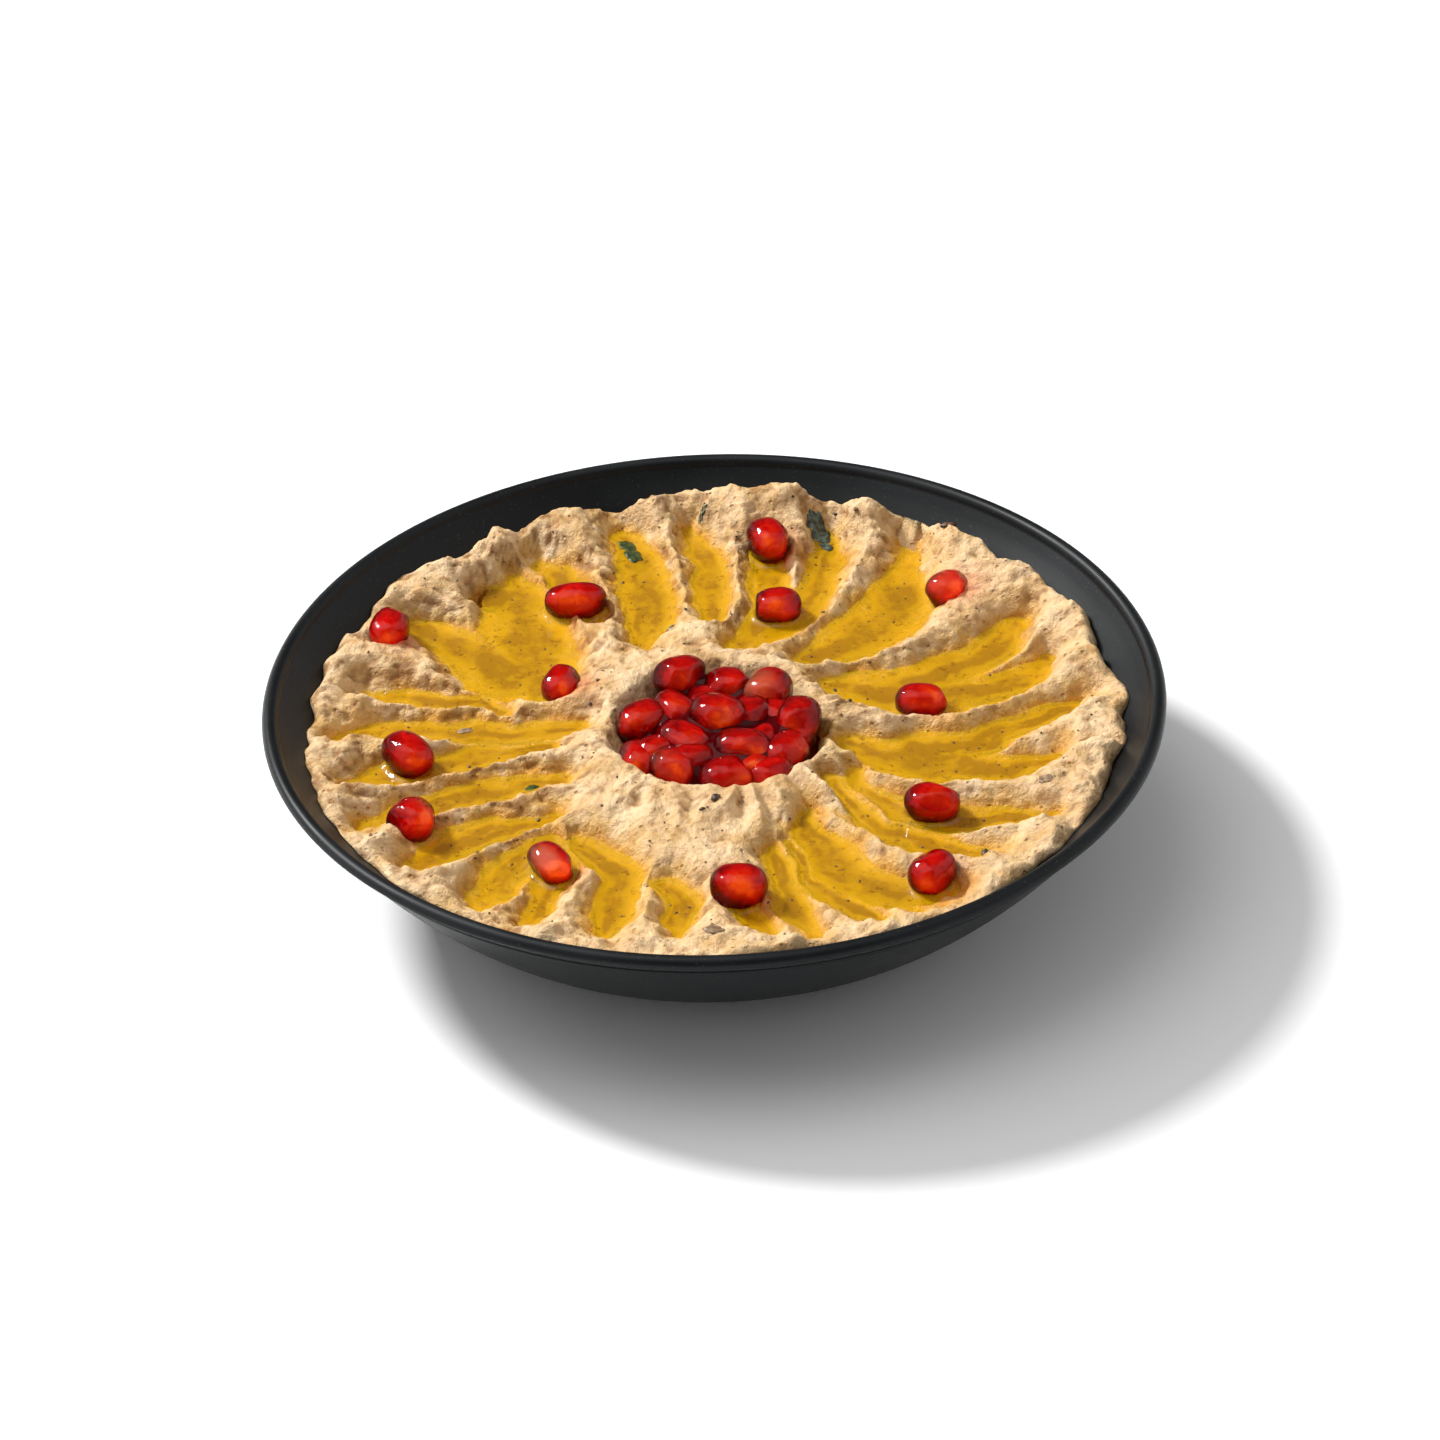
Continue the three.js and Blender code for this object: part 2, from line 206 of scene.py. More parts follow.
def glazeMaterial():
    # Matte black glaze on thrown stoneware: nearly black, with a soft broad sheen that worn patches
    # break up, and faint iron specks.
    material, tree, surface = newMaterial("matte black stoneware glaze")
    place = addNode(tree, "ShaderNodeTexCoord").outputs["Object"]
    cloud = addNode(tree, "ShaderNodeTexNoise", {
        "Vector": place, "Scale": perMetre(dish["cloudSize"]), "Detail": 4.0})
    grain = addNode(tree, "ShaderNodeTexNoise", {  # coarser than real clay specks, which wouldn't show
        "Vector": place, "Scale": perMetre(dish["claySpeck"]), "Detail": 2.0})
    colour = addNode(tree, "ShaderNodeValToRGB", {"Fac": cloud.outputs[0]},
                     stops=[(0.35, dish["glaze"]), (0.7, dish["glazeWorn"])])
    speck = addNode(tree, "ShaderNodeMapRange", {
        "Value": grain.outputs[0], "From Min": 0.66, "From Max": 0.72, "To Max": dish["claySpeckShare"]})
    specked = addNode(tree, "ShaderNodeMix", {
        0: speck.outputs[0], 6: colour.outputs[0], 7: hexColour(dish["ironSpeck"])}, data_type="RGBA")
    rough = addNode(tree, "ShaderNodeMapRange", {
        "Value": cloud.outputs[0], "From Min": 0.3, "From Max": 0.75,
        "To Min": dish["roughness"] - 0.05, "To Max": dish["roughness"] + 0.12})
    bump = addNode(tree, "ShaderNodeBump", {"Height": grain.outputs[0], "Strength": 0.12, "Distance": 0.0001})
    fillInputs(tree, surface, {
        "Base Color": specked.outputs[2], "Roughness": rough.outputs[0], "Normal": bump.outputs[0],
        "IOR": dish["ior"], "Specular IOR Level": dish["specular"]})
    return material


places, faces = latheBody(dishProfile(), dish["sides"])
dishPiece = newPiece("stonewareDish", places, faces, glazeMaterial())
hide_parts("dish")
print("dish:", len(faces), "faces")

# The dip, swept with a spoon into furrows round a well

dip = {
    "radius": 76.4,
    "crestRadius": 74.2,
    "edgeHeight": 27.5,
    "edgeWander": 2.0,  # how far the line where the dip meets the dish climbs and dips
    "ridgeHeight": 28.5,
    "oilLevel": 24.6,
    "furrowFloor": 23.0,
    "bankRun": 3.4,  # over which a bank climbs most of its height
    "wellCentre": (0.8, -3.6),
    "wellFloor": 21.7,
    "wellFloorRadius": 16.5,
    "wellLipRadius": 21.5,
    "wellLipRise": 0.7,
    "wallGap": 0.45,  # so that it doesn't cut into the dish
    "floorGap": 0.3,
    "gridCells": 300,
    "wander": 1.2,  # how far a furrow's edge strays from its line
    "pleat": 0.45,  # torn folds across the banks
    "pleatSize": 1.7,
    "drag": 0.3,  # fine lines that the spoon drew along its path
    "dragLength": 9.0,
    "dragSpacing": 0.9,
    "fold": 2.2,  # folds that the spoon left round the well
    "foldTurn": 10.0,  # degrees round the well
    "foldLength": 20.0,
    "foldRadius": 28.0,
    "foldReach": 6.5,
    "borderLump": 1.3,  # dollops along the rim
    "borderLumpSize": 10.0,
    "lump": 0.34,
    "lumpSize": 3.4,
    "scallop": 0.7,  # round bites out of the banks
    "scallopSize": 2.6,
    "curd": 0.5,  # the fine grain of mashed aubergine
    "curdSize": 1.35,
    "patchSize": 9.0,  # of the rougher and the smoother parts
    "cracks": [
        [(68.5, -12.5), (72.0, -12.8), (76.0, -14.5)], [(64.8, -20.0), (68.5, -23.5), (70.5, -29.0)],
        [(36.0, 67.0), (38.5, 64.5), (41.0, 61.0)],
    ],
    "crackDepth": 1.1,
    "crackReach": 0.45,
    "hollows": [  # x, y, reach and depth, where a minus sign makes a peak
        (-45.8, 47.5, 3.0, 5.5), (-43.0, 49.5, 2.2, 3.0), (68.0, -1.5, 1.5, 3.5), (67.0, 1.5, 1.3, 2.5),
        (15.0, 70.5, 2.4, -1.9), (26.5, 70.0, 4.0, -0.8), (-12.0, 70.5, 3.0, -0.9), (22.0, 66.0, 2.0, 2.0),
    ],
    "pale": "F0D4AA",
    "cream": "E6C292",
    "tan": "CEA468",
    # Brown for the random mottle, and for the painted shade in pits and dimples.
    "mottleAndShadeBrown": "94622C",
    "fibre": "70482A",
    "faintStain": "F8F0D0",
    "stain": "F2D474",
    "soaked": "F0C430",
    # Painted red light that the arils throw on the dip beside them.
    "paintedArilLight": "F09068",
    "soak": 1.3,  # how high oil creeps up the banks
    "paintedArilLightReach": 4.2,
    "mottleSize": 7.0,
    "fineSize": 1.2,
    "fibreSize": 1.9,
    "dimpleSpacing": 2.6,
    "dryRoughness": 0.42,
    "wetRoughness": 0.18,
    "ior": 1.4,
    "specular": 0.4,
    "subsurface": 0.2,
}

borderCrest = [  # angle in degrees from +X, height of the crest
    (0, 29.2), (20, 29.8), (40, 30.6), (60, 31.3), (78, 31.8), (92, 31.0), (105, 29.6),
    (122, 30.4), (150, 29.4), (180, 28.4), (215, 28.2), (250, 28.0), (290, 28.0), (325, 28.4),
]

furrows = [  # x, y and half width of the oil, from one end of each furrow to the other
    [(-18, 69.9, 1.8), (-14.5, 60, 4.5), (-12.3, 47, 5.2), (-12, 40, 4.6), (-13, 30, 2.2)],
    [(-4, 70.5, 1.5), (0.3, 55, 3.2), (0.2, 45, 3.2), (0, 39, 2.2)],
    [(24, 67, 1.6), (23.3, 56, 3), (20.5, 46, 3.6), (14, 36, 5), (6, 28.5, 2.6)],
    [(11.5, 60, 2), (11.5, 50, 3.4), (12, 40, 4.2), (9, 32, 4)],
    [(19.5, 22, 2.2), (27, 28, 6.3), (34, 36, 7.2), (37.5, 47, 4.8), (39.3, 57, 3), (39.5, 64, 1.6)],
    [(22, 13.5, 2.2), (30, 11, 6.5), (40, 8.5, 7.3), (48, 9.5, 5.5), (57, 12, 4), (64, 19, 1.8)],
    [(38, 13, 5.5), (49, 19.5, 4.6), (55.5, 26, 3.6), (59, 34, 1.8)],
    [(25, -5.5, 2.2), (31, -10, 5.4), (39, -13, 6.8), (48, -15.5, 5.2), (57, -16, 3), (63.5, -13, 1.4)],
    [(38, -8.5, 4.5), (47, -8, 4.6), (56, -3.5, 3.3), (63, 1, 2.6), (69.5, 4.5, 1.2)],
    [(26, -16, 1.2), (30, -24, 1.9), (37, -30, 3.2), (45, -32.3, 3.7), (53, -31.8, 2.6), (61.5, -31.8, 0.8)],
    [(22.5, -18, 1), (26, -28.5, 1.9), (31, -34.7, 3), (37, -38, 3.8), (43.5, -41.8, 2.4), (50, -43, 0.8)],
    [(16, -29, 1.1), (18.3, -38, 3.8), (21.5, -45.5, 5), (27, -51.5, 5), (34, -55.5, 4.5), (41, -54.5, 3)],
    [(13.3, -38, 0.8), (16.7, -49.3, 1.9), (21, -54.8, 2.7), (24.6, -58.6, 2.2), (29, -62, 0.8)],
    [(10, -39.9, 1.1), (11.4, -47.1, 2.2), (12.2, -54.9, 3.2), (13.5, -60.6, 2.7), (17, -66, 1.3)],
    [(2.8, -54, 2), (5.4, -60.5, 2), (8.6, -65.9, 0.9)],
    [(-10.2, -48.5, 1.5), (-7.4, -54.3, 2.8), (-7.8, -60.4, 2.5), (-8.3, -65.2, 1.1)],
    [(-26, -35.4, 1.6), (-21, -41, 3.2), (-17.6, -46, 3.6), (-18.9, -52.5, 3.8), (-20.4, -59, 3.2),
     (-20.8, -65, 1.6)],
    [(-29.5, -37, 2.5), (-30.2, -44, 4.2), (-31.7, -50, 2.6), (-32.8, -56.2, 2.2), (-34, -60.2, 1.1)],
    [(-31, -34.5, 1.5), (-35, -39.2, 3.6), (-39.5, -45.4, 3.9), (-42, -51, 3.6), (-43.8, -55.3, 1.3)],
    [(-29.5, -26.5, 0.8), (-36.7, -29.3, 2.4), (-43.9, -31.7, 4), (-50, -36, 4.8), (-55, -40.2, 2.2)],
    [(-29.5, -15.2, 1.6), (-36.7, -16.5, 3), (-44.4, -18.8, 3.7), (-52, -21.5, 3.4), (-64.5, -27, 2.2)],
    [(-31, -4, 1), (-37.8, -5.4, 2.5), (-45.6, -7.1, 3.3), (-52, -9.4, 2.9), (-62, -12.3, 3.4),
     (-68, -14.5, 1.5)],
    [(-26.5, 1.4, 2), (-35.6, 1, 3), (-45.6, 1, 3.5), (-55, 2.7, 2.6), (-66, 2.3, 2.3), (-71.8, 0, 1.1)],
    [(-66, 14.9, 1.5), (-56, 13, 2.3), (-45.6, 11.2, 1.8), (-40, 8.2, 0.8)],
    [(-38.5, 54, 2), (-37.5, 45, 6), (-36, 34, 8), (-34, 24, 8), (-32.5, 14, 3.6)],
    [(-59, 39, 2), (-52, 33.5, 4.4), (-45, 27.5, 7), (-39, 20, 8)],
    [(-33, 59, 2.2), (-29, 54, 3.4), (-26, 46, 3), (-22.5, 38, 1.2)],
]


def throughPoints(points, steps):  # one smooth line through the points
    known = np.array(points, float)
    ends = np.vstack([2 * known[0] - known[1], known, 2 * known[-1] - known[-2]])
    share = np.linspace(0, 1, steps, endpoint=False)[:, None]
    line = []
    for a, b, c, d in zip(ends, ends[1:], ends[2:], ends[3:]):
        line.append(0.5 * (2 * b + (c - a) * share + (2 * a - 5 * b + 4 * c - d) * share ** 2
                           + (3 * b - a - 3 * c + d) * share ** 3))
    return np.vstack([*line, known[-1:]])


def measureFurrows(x, y):  # mm outside the nearest furrow's oil (inside: a share to -1) and mm along it
    bank = np.full(x.shape, 20.0)
    along = np.zeros(x.shape)
    for index, furrow in enumerate(furrows):
        line = throughPoints(furrow, 16)
        run = np.append(0, np.cumsum(np.hypot(*np.diff(line[:, :2], axis=0).T))) + 90.0 * index
        low = line[:, :2].min(0) - 18
        high = line[:, :2].max(0) + 18
        near = np.flatnonzero((x > low[0]) & (x < high[0]) & (y > low[1]) & (y < high[1]))
        best = np.full(len(near), 20.0)
        where = np.zeros(len(near))
        for (px, py, half), length in zip(line, run):
            distance = np.hypot(x[near] - px, y[near] - py)
            value = np.where(distance > half, distance - half, distance / half - 1)
            closer = value < best
            best[closer] = value[closer]
            where[closer] = length
        closer = best < bank[near]
        bank[near[closer]] = best[closer]
        along[near[closer]] = where[closer]
    return bank, along


def noiseAt(points, size, seed=0.0):  # smooth noise, -1 to 1, with bumps of about this size in mm
    shift = Vector((seed * 17.3, seed * 5.1, seed * 9.7))
    return np.array([noise.noise(Vector(p) / size + shift) for p in points])


def noiseOver(across, along, size, seed):  # the same over any two measures, to draw it out one way
    return noiseAt(np.stack([across, along, np.zeros_like(across)], 1), size, seed)


def wellDistance(x, y):
    return np.hypot(x - dip["wellCentre"][0], y - dip["wellCentre"][1])


def dipHeight(x, y):
    radius = np.hypot(x, y)
    degrees = np.degrees(np.arctan2(y, x)) % 360
    angles = [angle for angle, _ in borderCrest] + [360]
    crests = [height for _, height in borderCrest] + [borderCrest[0][1]]
    crest = np.interp(degrees, angles, crests)
    fromWell = wellDistance(x, y)
    top = dip["ridgeHeight"] + (crest - dip["ridgeHeight"]) * smooth(64, 73.5, radius)
    top = top + dip["wellLipRise"] * np.exp(-((fromWell - 23.5) / 3.2) ** 2)
    bank, along = measureFurrows(x, y)
    climb = 1 - np.exp(-1.4 * (np.maximum(bank, 0) / dip["bankRun"]) ** 1.5)  # a wet beach, then a steep bank
    beside = dip["oilLevel"] + (top - dip["oilLevel"]) * climb
    scoop = 1 - (1 + np.minimum(bank, 0)) ** 2
    under = dip["oilLevel"] - (dip["oilLevel"] - dip["furrowFloor"]) * scoop
    height = np.where(bank > 0, beside, under)
    well = 1 - smooth(dip["wellFloorRadius"], dip["wellLipRadius"], fromWell)
    height = height + (dip["wellFloor"] - height) * well
    return height, bank, along


def discGrid(cells, radius):  # a square grid laid over a disc, all cells of one area
    line = np.linspace(-1, 1, cells + 1)
    u, v = np.meshgrid(line, line, indexing="ij")
    wide = np.abs(u) > np.abs(v)
    safeU = np.where(u == 0, 1, u)
    safeV = np.where(v == 0, 1, v)
    reach = np.where(wide, u, v)
    angle = np.where(wide, math.pi / 4 * v / safeU, math.pi / 2 - math.pi / 4 * u / safeV)
    return (radius * reach * np.cos(angle)).ravel(), (radius * reach * np.sin(angle)).ravel()


def gridFaces(cells):
    corner = (np.arange(cells)[:, None] * (cells + 1) + np.arange(cells)[None, :]).ravel()
    return np.stack([corner, corner + cells + 1, corner + cells + 2, corner + 1], 1)


def gridRim(cells):  # the grid's outer vertices, in order round the disc
    side = cells + 1
    bottom = [i * side for i in range(cells)]
    right = [cells * side + j for j in range(cells)]
    top = [i * side + cells for i in range(cells, 0, -1)]
    left = [j for j in range(cells, 0, -1)]
    return bottom + right + top + left


def normalsOf(places, faces):
    quads = places[faces]
    across = np.cross(quads[:, 2] - quads[:, 0], quads[:, 3] - quads[:, 1])
    normals = np.zeros_like(places)
    for corner in range(4):
        np.add.at(normals, faces[:, corner], across)
    return normals / np.linalg.norm(normals, axis=1, keepdims=True)


def makeDipSurface():
    cells = dip["gridCells"]
    x, y = discGrid(cells, dip["radius"])
    radius = np.hypot(x, y)
    flat = np.stack([x, y, np.zeros_like(x)], 1)

    # The outer edge is fitted to the dish, at a height that wanders.
    atEdge = flat * (dip["radius"] / np.maximum(radius, 1))[:, None]
    waves = noiseAt(atEdge, 11.0, 13) + 0.5 * noiseAt(atEdge, 4.5, 14)
    contact = dip["edgeHeight"] + dip["edgeWander"] * waves
    grow = 1 + ((innerRadius(contact) - 0.2) / dip["radius"] - 1) * smooth(58, 76, radius)
    x = x * grow
    y = y * grow
    inside = 1 - smooth(70.0, 75.0, radius)
    strayX = x + dip["wander"] * inside * (noiseAt(flat, 7.0, 1) + 0.6 * noiseAt(flat, 3.0, 2))
    strayY = y + dip["wander"] * inside * (noiseAt(flat, 7.0, 3) + 0.6 * noiseAt(flat, 3.0, 4))
    height, bank, along = dipHeight(strayX, strayY)

    # What the spoon left: pleats and drag lines on the banks, folds round the well, dollops at the rim.
    dry = smooth(-0.1, 1.6, bank)
    slope = np.exp(-((bank - 2.4) / 2.4) ** 2)
    pleats = noiseOver(along, bank * 0.35, dip["pleatSize"], 5)
    height = height + dip["pleat"] * pleats * dry * slope
    drag = noiseOver(along / dip["dragLength"], bank / dip["dragSpacing"], 1.0, 15)
    height = height + dip["drag"] * drag * smooth(0.6, 2.0, bank)
    fromWell = wellDistance(x, y)
    turn = np.degrees(np.arctan2(y - dip["wellCentre"][1], x - dip["wellCentre"][0]))
    folds = 0.7 - 2.6 * np.abs(noiseOver(turn / dip["foldTurn"], fromWell / dip["foldLength"], 1.0, 6))
    ring = np.exp(-((fromWell - dip["foldRadius"]) / dip["foldReach"]) ** 2)
    front = 0.25 + 0.75 * smooth(-10, 14, x - y * 0.9 - 4)
    height = height + dip["fold"] * folds * ring * front * dry
    dollops = 1.0 - 2.2 * np.abs(noiseAt(flat, dip["borderLumpSize"], 7)) + 0.7 * noiseAt(flat, 3.6, 8)
    dollops = dollops + 0.45 * noiseAt(flat, 1.9, 19)
    height = height + dip["borderLump"] * dollops * smooth(60, 71, radius)
    for crack in dip["cracks"]:
        line = throughPoints(crack, 12)
        aside = np.min([np.hypot(x - px, y - py) for px, py in line], axis=0)
        height = height - dip["crackDepth"] * np.exp(-(aside / dip["crackReach"]) ** 2)
    for hollowX, hollowY, reach, depth in dip["hollows"]:
        height = height - depth * np.exp(-((x - hollowX) ** 2 + (y - hollowY) ** 2) / reach ** 2)
    edge = np.clip((radius - dip["crestRadius"]) / (dip["radius"] - dip["crestRadius"]), 0, 1)
    height = height + (contact - height) * edge ** 1.8
    places = np.stack([x, y, height], 1)
    faces = gridFaces(cells)

    # The mash itself, moved along the normals so that it shows on steep banks too.
    normals = normalsOf(places, faces)
    patchy = smooth(-0.45, 0.45, noiseAt(flat, dip["patchSize"], 16) - 0.008 * x + 0.005 * y)
    scallops = np.array([noise.voronoi(Vector(p) / dip["scallopSize"])[0][0] for p in places])
    curds = np.array([noise.voronoi(Vector(p) / dip["curdSize"])[0][0] for p in places])
    grain = noiseAt(places, dip["lumpSize"], 9) * (0.4 + 0.6 * patchy) + 0.6 * noiseAt(places, 1.6, 10)
    swell = dip["lump"] * grain * (0.55 + 0.45 * dry)
    swell = swell + dip["scallop"] * (0.45 - scallops) * dry * (0.25 + 0.75 * slope) * (0.3 + 0.7 * patchy)
    swell = swell + dip["curd"] * (0.4 - curds) * (0.8 + 0.2 * dry) * (0.4 + 0.6 * patchy)
    places = places + normals * (swell * (1 - edge ** 2))[:, None]
    streak = noiseOver(along / 7.0, bank * 3.0, 1.0, 18)
    return places, faces, bank, dry, swell, streak


def closeBelow(places, faces, rings, cells):  # takes the rim down through the rings and closes the floor
    rim = gridRim(cells)
    outline = places[rim]
    turn = np.arctan2(outline[:, 1], outline[:, 0])
    extra = []
    quads = [tuple(face) for face in faces]
    above = list(rim)
    count = len(places)
    for radius, z in rings:
        extra.append(np.stack([radius * np.cos(turn), radius * np.sin(turn), np.full(len(rim), z)], 1))
        below = [count + i for i in range(len(rim))]
        for i in range(len(rim)):
            after = (i + 1) % len(rim)
            quads.append((above[i], below[i], below[after], above[after]))
        above = below
        count += len(rim)
    middle = np.array([[0.0, 0.0, rings[-1][1]]])
    for i in range(len(rim)):
        quads.append((above[i], count, above[(i + 1) % len(rim)]))
    return np.vstack([places, *extra, middle]), quads


def dipMaterial():
    # Smoked aubergine mashed with tahini, swept by spoon: pale cream, moist and a little see-through at the
    # edges, with painted shade in its pits and dimples, tiny brown fibres, a yellow stain where oil has
    # soaked in, and painted red light beside the arils.
    material, tree, surface = newMaterial("aubergine and tahini dip")
    place = addNode(tree, "ShaderNodeTexCoord").outputs["Object"]
    broad = addNode(tree, "ShaderNodeTexNoise", {
        "Vector": place, "Scale": perMetre(dip["mottleSize"]), "Detail": 5.0, "Roughness": 0.6})
    fine = addNode(tree, "ShaderNodeTexNoise", {
        "Vector": place, "Scale": perMetre(dip["fineSize"]), "Detail": 4.0, "Roughness": 0.65})
    fibre = addNode(tree, "ShaderNodeTexNoise", {
        "Vector": place, "Scale": perMetre(dip["fibreSize"]), "Detail": 4.0, "Roughness": 0.75,
        "Distortion": 1.2})
    cream = addNode(tree, "ShaderNodeValToRGB", {"Fac": broad.outputs[0]},
                    stops=[(0.3, dip["tan"]), (0.5, dip["cream"]), (0.72, dip["pale"])])
    # Painted shade: browner where the mash sinks into hollows between its lumps.
    paintedPitShade = addNode(tree, "ShaderNodeAttribute", attribute_name="paintedPitShade").outputs["Fac"]
    pitShadeAmount = addNode(tree, "ShaderNodeMath", {0: paintedPitShade, 1: 0.85}, operation="MULTIPLY")
    pitShaded = addNode(tree, "ShaderNodeMix", {
        0: pitShadeAmount.outputs[0], 6: cream.outputs[0], 7: hexColour(dip["mottleAndShadeBrown"])}, data_type="RGBA")
    mottle = addNode(tree, "ShaderNodeMapRange", {
        "Value": fine.outputs[0], "From Min": 0.54, "From Max": 0.74, "To Max": 0.35})
    mottled = addNode(tree, "ShaderNodeMix", {
        0: mottle.outputs[0], 6: pitShaded.outputs[2], 7: hexColour(dip["mottleAndShadeBrown"])}, data_type="RGBA")
    fleck = addNode(tree, "ShaderNodeMapRange", {
        "Value": fibre.outputs[0], "From Min": 0.67, "From Max": 0.73, "To Max": 0.7})
    flecked = addNode(tree, "ShaderNodeMix", {
        0: fleck.outputs[0], 6: mottled.outputs[2], 7: hexColour(dip["fibre"])}, data_type="RGBA")
    # Small dimples: dents in the bump, with painted shade that browns them.
    seeds = addNode(tree, "ShaderNodeTexVoronoi", {
        "Vector": place, "Scale": perMetre(dip["dimpleSpacing"])})
    dimpleDentAndShade = addNode(tree, "ShaderNodeMapRange", {
        "Value": seeds.outputs["Distance"], "From Min": 0.18, "From Max": 0.06, "To Max": 0.5})
    dimpleShaded = addNode(tree, "ShaderNodeMix", {
        0: dimpleDentAndShade.outputs[0], 6: flecked.outputs[2], 7: hexColour(dip["mottleAndShadeBrown"])}, data_type="RGBA")
    stain = addNode(tree, "ShaderNodeAttribute", attribute_name="oilStain").outputs["Fac"]
    tint = addNode(tree, "ShaderNodeValToRGB", {"Fac": stain}, stops=[
        (0.0, "FFFFFF"), (0.25, dip["faintStain"]), (0.7, dip["stain"]), (1.0, dip["soaked"])])
    stained = addNode(tree, "ShaderNodeMix", {0: 1.0, 6: dimpleShaded.outputs[2], 7: tint.outputs[0]},
                      data_type="RGBA", blend_type="MULTIPLY")
    # Painted light: a red tint where the arils would throw red light.
    paintedArilLight = addNode(tree, "ShaderNodeAttribute", attribute_name="paintedArilLight").outputs["Fac"]
    arilLightStrength = addNode(tree, "ShaderNodeMath", {0: paintedArilLight, 1: 0.75}, operation="MULTIPLY")
    arilLightTinted = addNode(tree, "ShaderNodeMix", {
        0: arilLightStrength.outputs[0], 6: (1, 1, 1, 1), 7: hexColour(dip["paintedArilLight"])}, data_type="RGBA")
    lit = addNode(tree, "ShaderNodeMix", {0: 1.0, 6: stained.outputs[2], 7: arilLightTinted.outputs[2]},
                  data_type="RGBA", blend_type="MULTIPLY")
    rough = addNode(tree, "ShaderNodeMapRange", {
        "Value": stain, "To Min": dip["dryRoughness"], "To Max": dip["wetRoughness"]})
    relief = addNode(tree, "ShaderNodeMath", {0: fine.outputs[0], 1: dimpleDentAndShade.outputs[0]}, operation="SUBTRACT")
    bump = addNode(tree, "ShaderNodeBump", {"Height": relief.outputs[0], "Strength": 0.9, "Distance": 0.0009})
    fillInputs(tree, surface, {
        "Base Color": lit.outputs[2], "Roughness": rough.outputs[0], "Normal": bump.outputs[0],
        "IOR": dip["ior"], "Specular IOR Level": dip["specular"], "Subsurface Weight": dip["subsurface"],
        "Subsurface Radius": (1.0, 0.5, 0.2), "Subsurface Scale": 0.0006})
    return material


looseArils = {  # yaw, tilt, half length, half width, half depth, taper, painted glow, paleness
    "aril_01": (80, 0, 5.7, 3.8, 3.7, -0.12, 0.35, 0.0),
    "aril_02": (2, 0, 6.3, 3.6, 3.5, 0.05, 0.45, 0.0),
    "aril_03": (66, 0, 4.4, 3.5, 3.3, 0.1, 0.3, 0.0),
    "aril_04": (128, 0, 5.9, 4.0, 3.7, 0.06, 0.35, 0.0),
    "aril_05": (76, 0, 5.0, 4.3, 3.7, -0.22, 0.3, 0.0),
    "aril_06": (122, 0, 5.3, 3.5, 3.3, 0.05, 0.9, 0.5),
    "aril_07": (4, 0, 5.3, 4.3, 3.7, -0.06, 0.55, 0.0),
    "aril_08": (52, 0, 5.2, 3.8, 3.6, -0.1, 0.3, 0.0),
    "aril_09": (-3, 0, 5.3, 4.0, 3.5, 0.04, 0.1, 0.0),
    "aril_10": (-4, 0, 5.0, 3.5, 3.3, -0.05, 0.45, 0.0),
    "aril_11": (58, 0, 4.9, 3.6, 3.4, -0.25, 0.4, 0.2),
    "aril_12": (112, 0, 5.3, 4.0, 3.8, 0.06, 0.35, 0.0),
    "aril_13": (4, 0, 4.9, 3.8, 3.4, 0.06, 0.35, 0.0),
}

surfacePlaces, surfaceFaces, bankShare, dryShare, swellShare, streakShare = makeDipSurface()
wallRings = [(innerRadius(z) - dip["wallGap"], z + dip["floorGap"]) for z in (23.0, 16.0, 10.0, 6.0, 4.2)]
places, faces = closeBelow(surfacePlaces, surfaceFaces, wallRings, dip["gridCells"])
dipPiece = newPiece("sweptDip", places, faces, dipMaterial())
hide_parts("dip")
above = surfacePlaces[:, 2] - dip["oilLevel"]
blotch = noiseAt(surfacePlaces, 5.0, 11) + 0.5 * noiseAt(surfacePlaces, 1.8, 17)
soakReach = dip["soak"] * np.clip(1.0 + 1.5 * blotch, 0.25, 3)
paintedArilLight = np.zeros(len(surfacePlaces))
for name in looseArils:  # painted red light that an aril throws on the dip beside it, off to the side away from the lamp
    middle = sum(np.array(corner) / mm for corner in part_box(name)) / 2
    aside = np.hypot(surfacePlaces[:, 0] - middle[0] - 2.2, surfacePlaces[:, 1] - middle[1] + 1.6)
    paintedArilLight = np.maximum(paintedArilLight, np.exp(-(aside / dip["paintedArilLightReach"]) ** 2))
soak = np.exp(-np.maximum(above, 0) / soakReach) * smooth(9.0, 2.0, bankShare)
lowerRings = np.zeros(len(places) - len(surfacePlaces))
setShare(dipPiece, "oilStain", np.append(np.clip(soak, 0, 1), lowerRings))
setShare(dipPiece, "paintedArilLight", np.append(paintedArilLight, lowerRings))
# Painted shade in the hollows of the mash, on its dry parts.
setShare(dipPiece, "paintedPitShade", np.append(smooth(0.02, -0.42, swellShare) * dryShare, lowerRings))
print("dip:", len(faces), "faces")

# Pomegranate arils, the loose ones and the heap in the well

aril = {
    "subdivisions": 4,
    "boxiness": 0.84,  # 1 is an ellipsoid, and less is squarer
    # From edge to glow: painted shade where a kernel turns away from the front, painted glow where light
    # would gather inside it.
    "edge": "420004",
    "deep": "960204",
    "skin": "F20C04",
    "bright": "FF3408",
    "paintedGlow": "FF6C1A",
    "emittedGlowLow": "300000",  # painted glow, emitted, standing in for light scattered inside the flesh
    "emittedGlowMid": "A01602",
    "emittedGlowHigh": "FF460C",
    "emittedGlowStrength": 0.45,
    "pale": "FF9A6C",
    "streakSize": 2.5,
    "skinWave": 2.2,  # between the gentle dents that break the shine up
    "roughness": 0.03,
    "ior": 1.35,
    "specular": 0.32,
    "transmission": 0.6,
    "subsurface": 0.5,
    "lowerCount": 14,
    "lowerRadius": 14.2,
    "heapPaintedGlow": 0.88,  # painted shade: arils piled on each other get less painted glow, as they gather less light
}

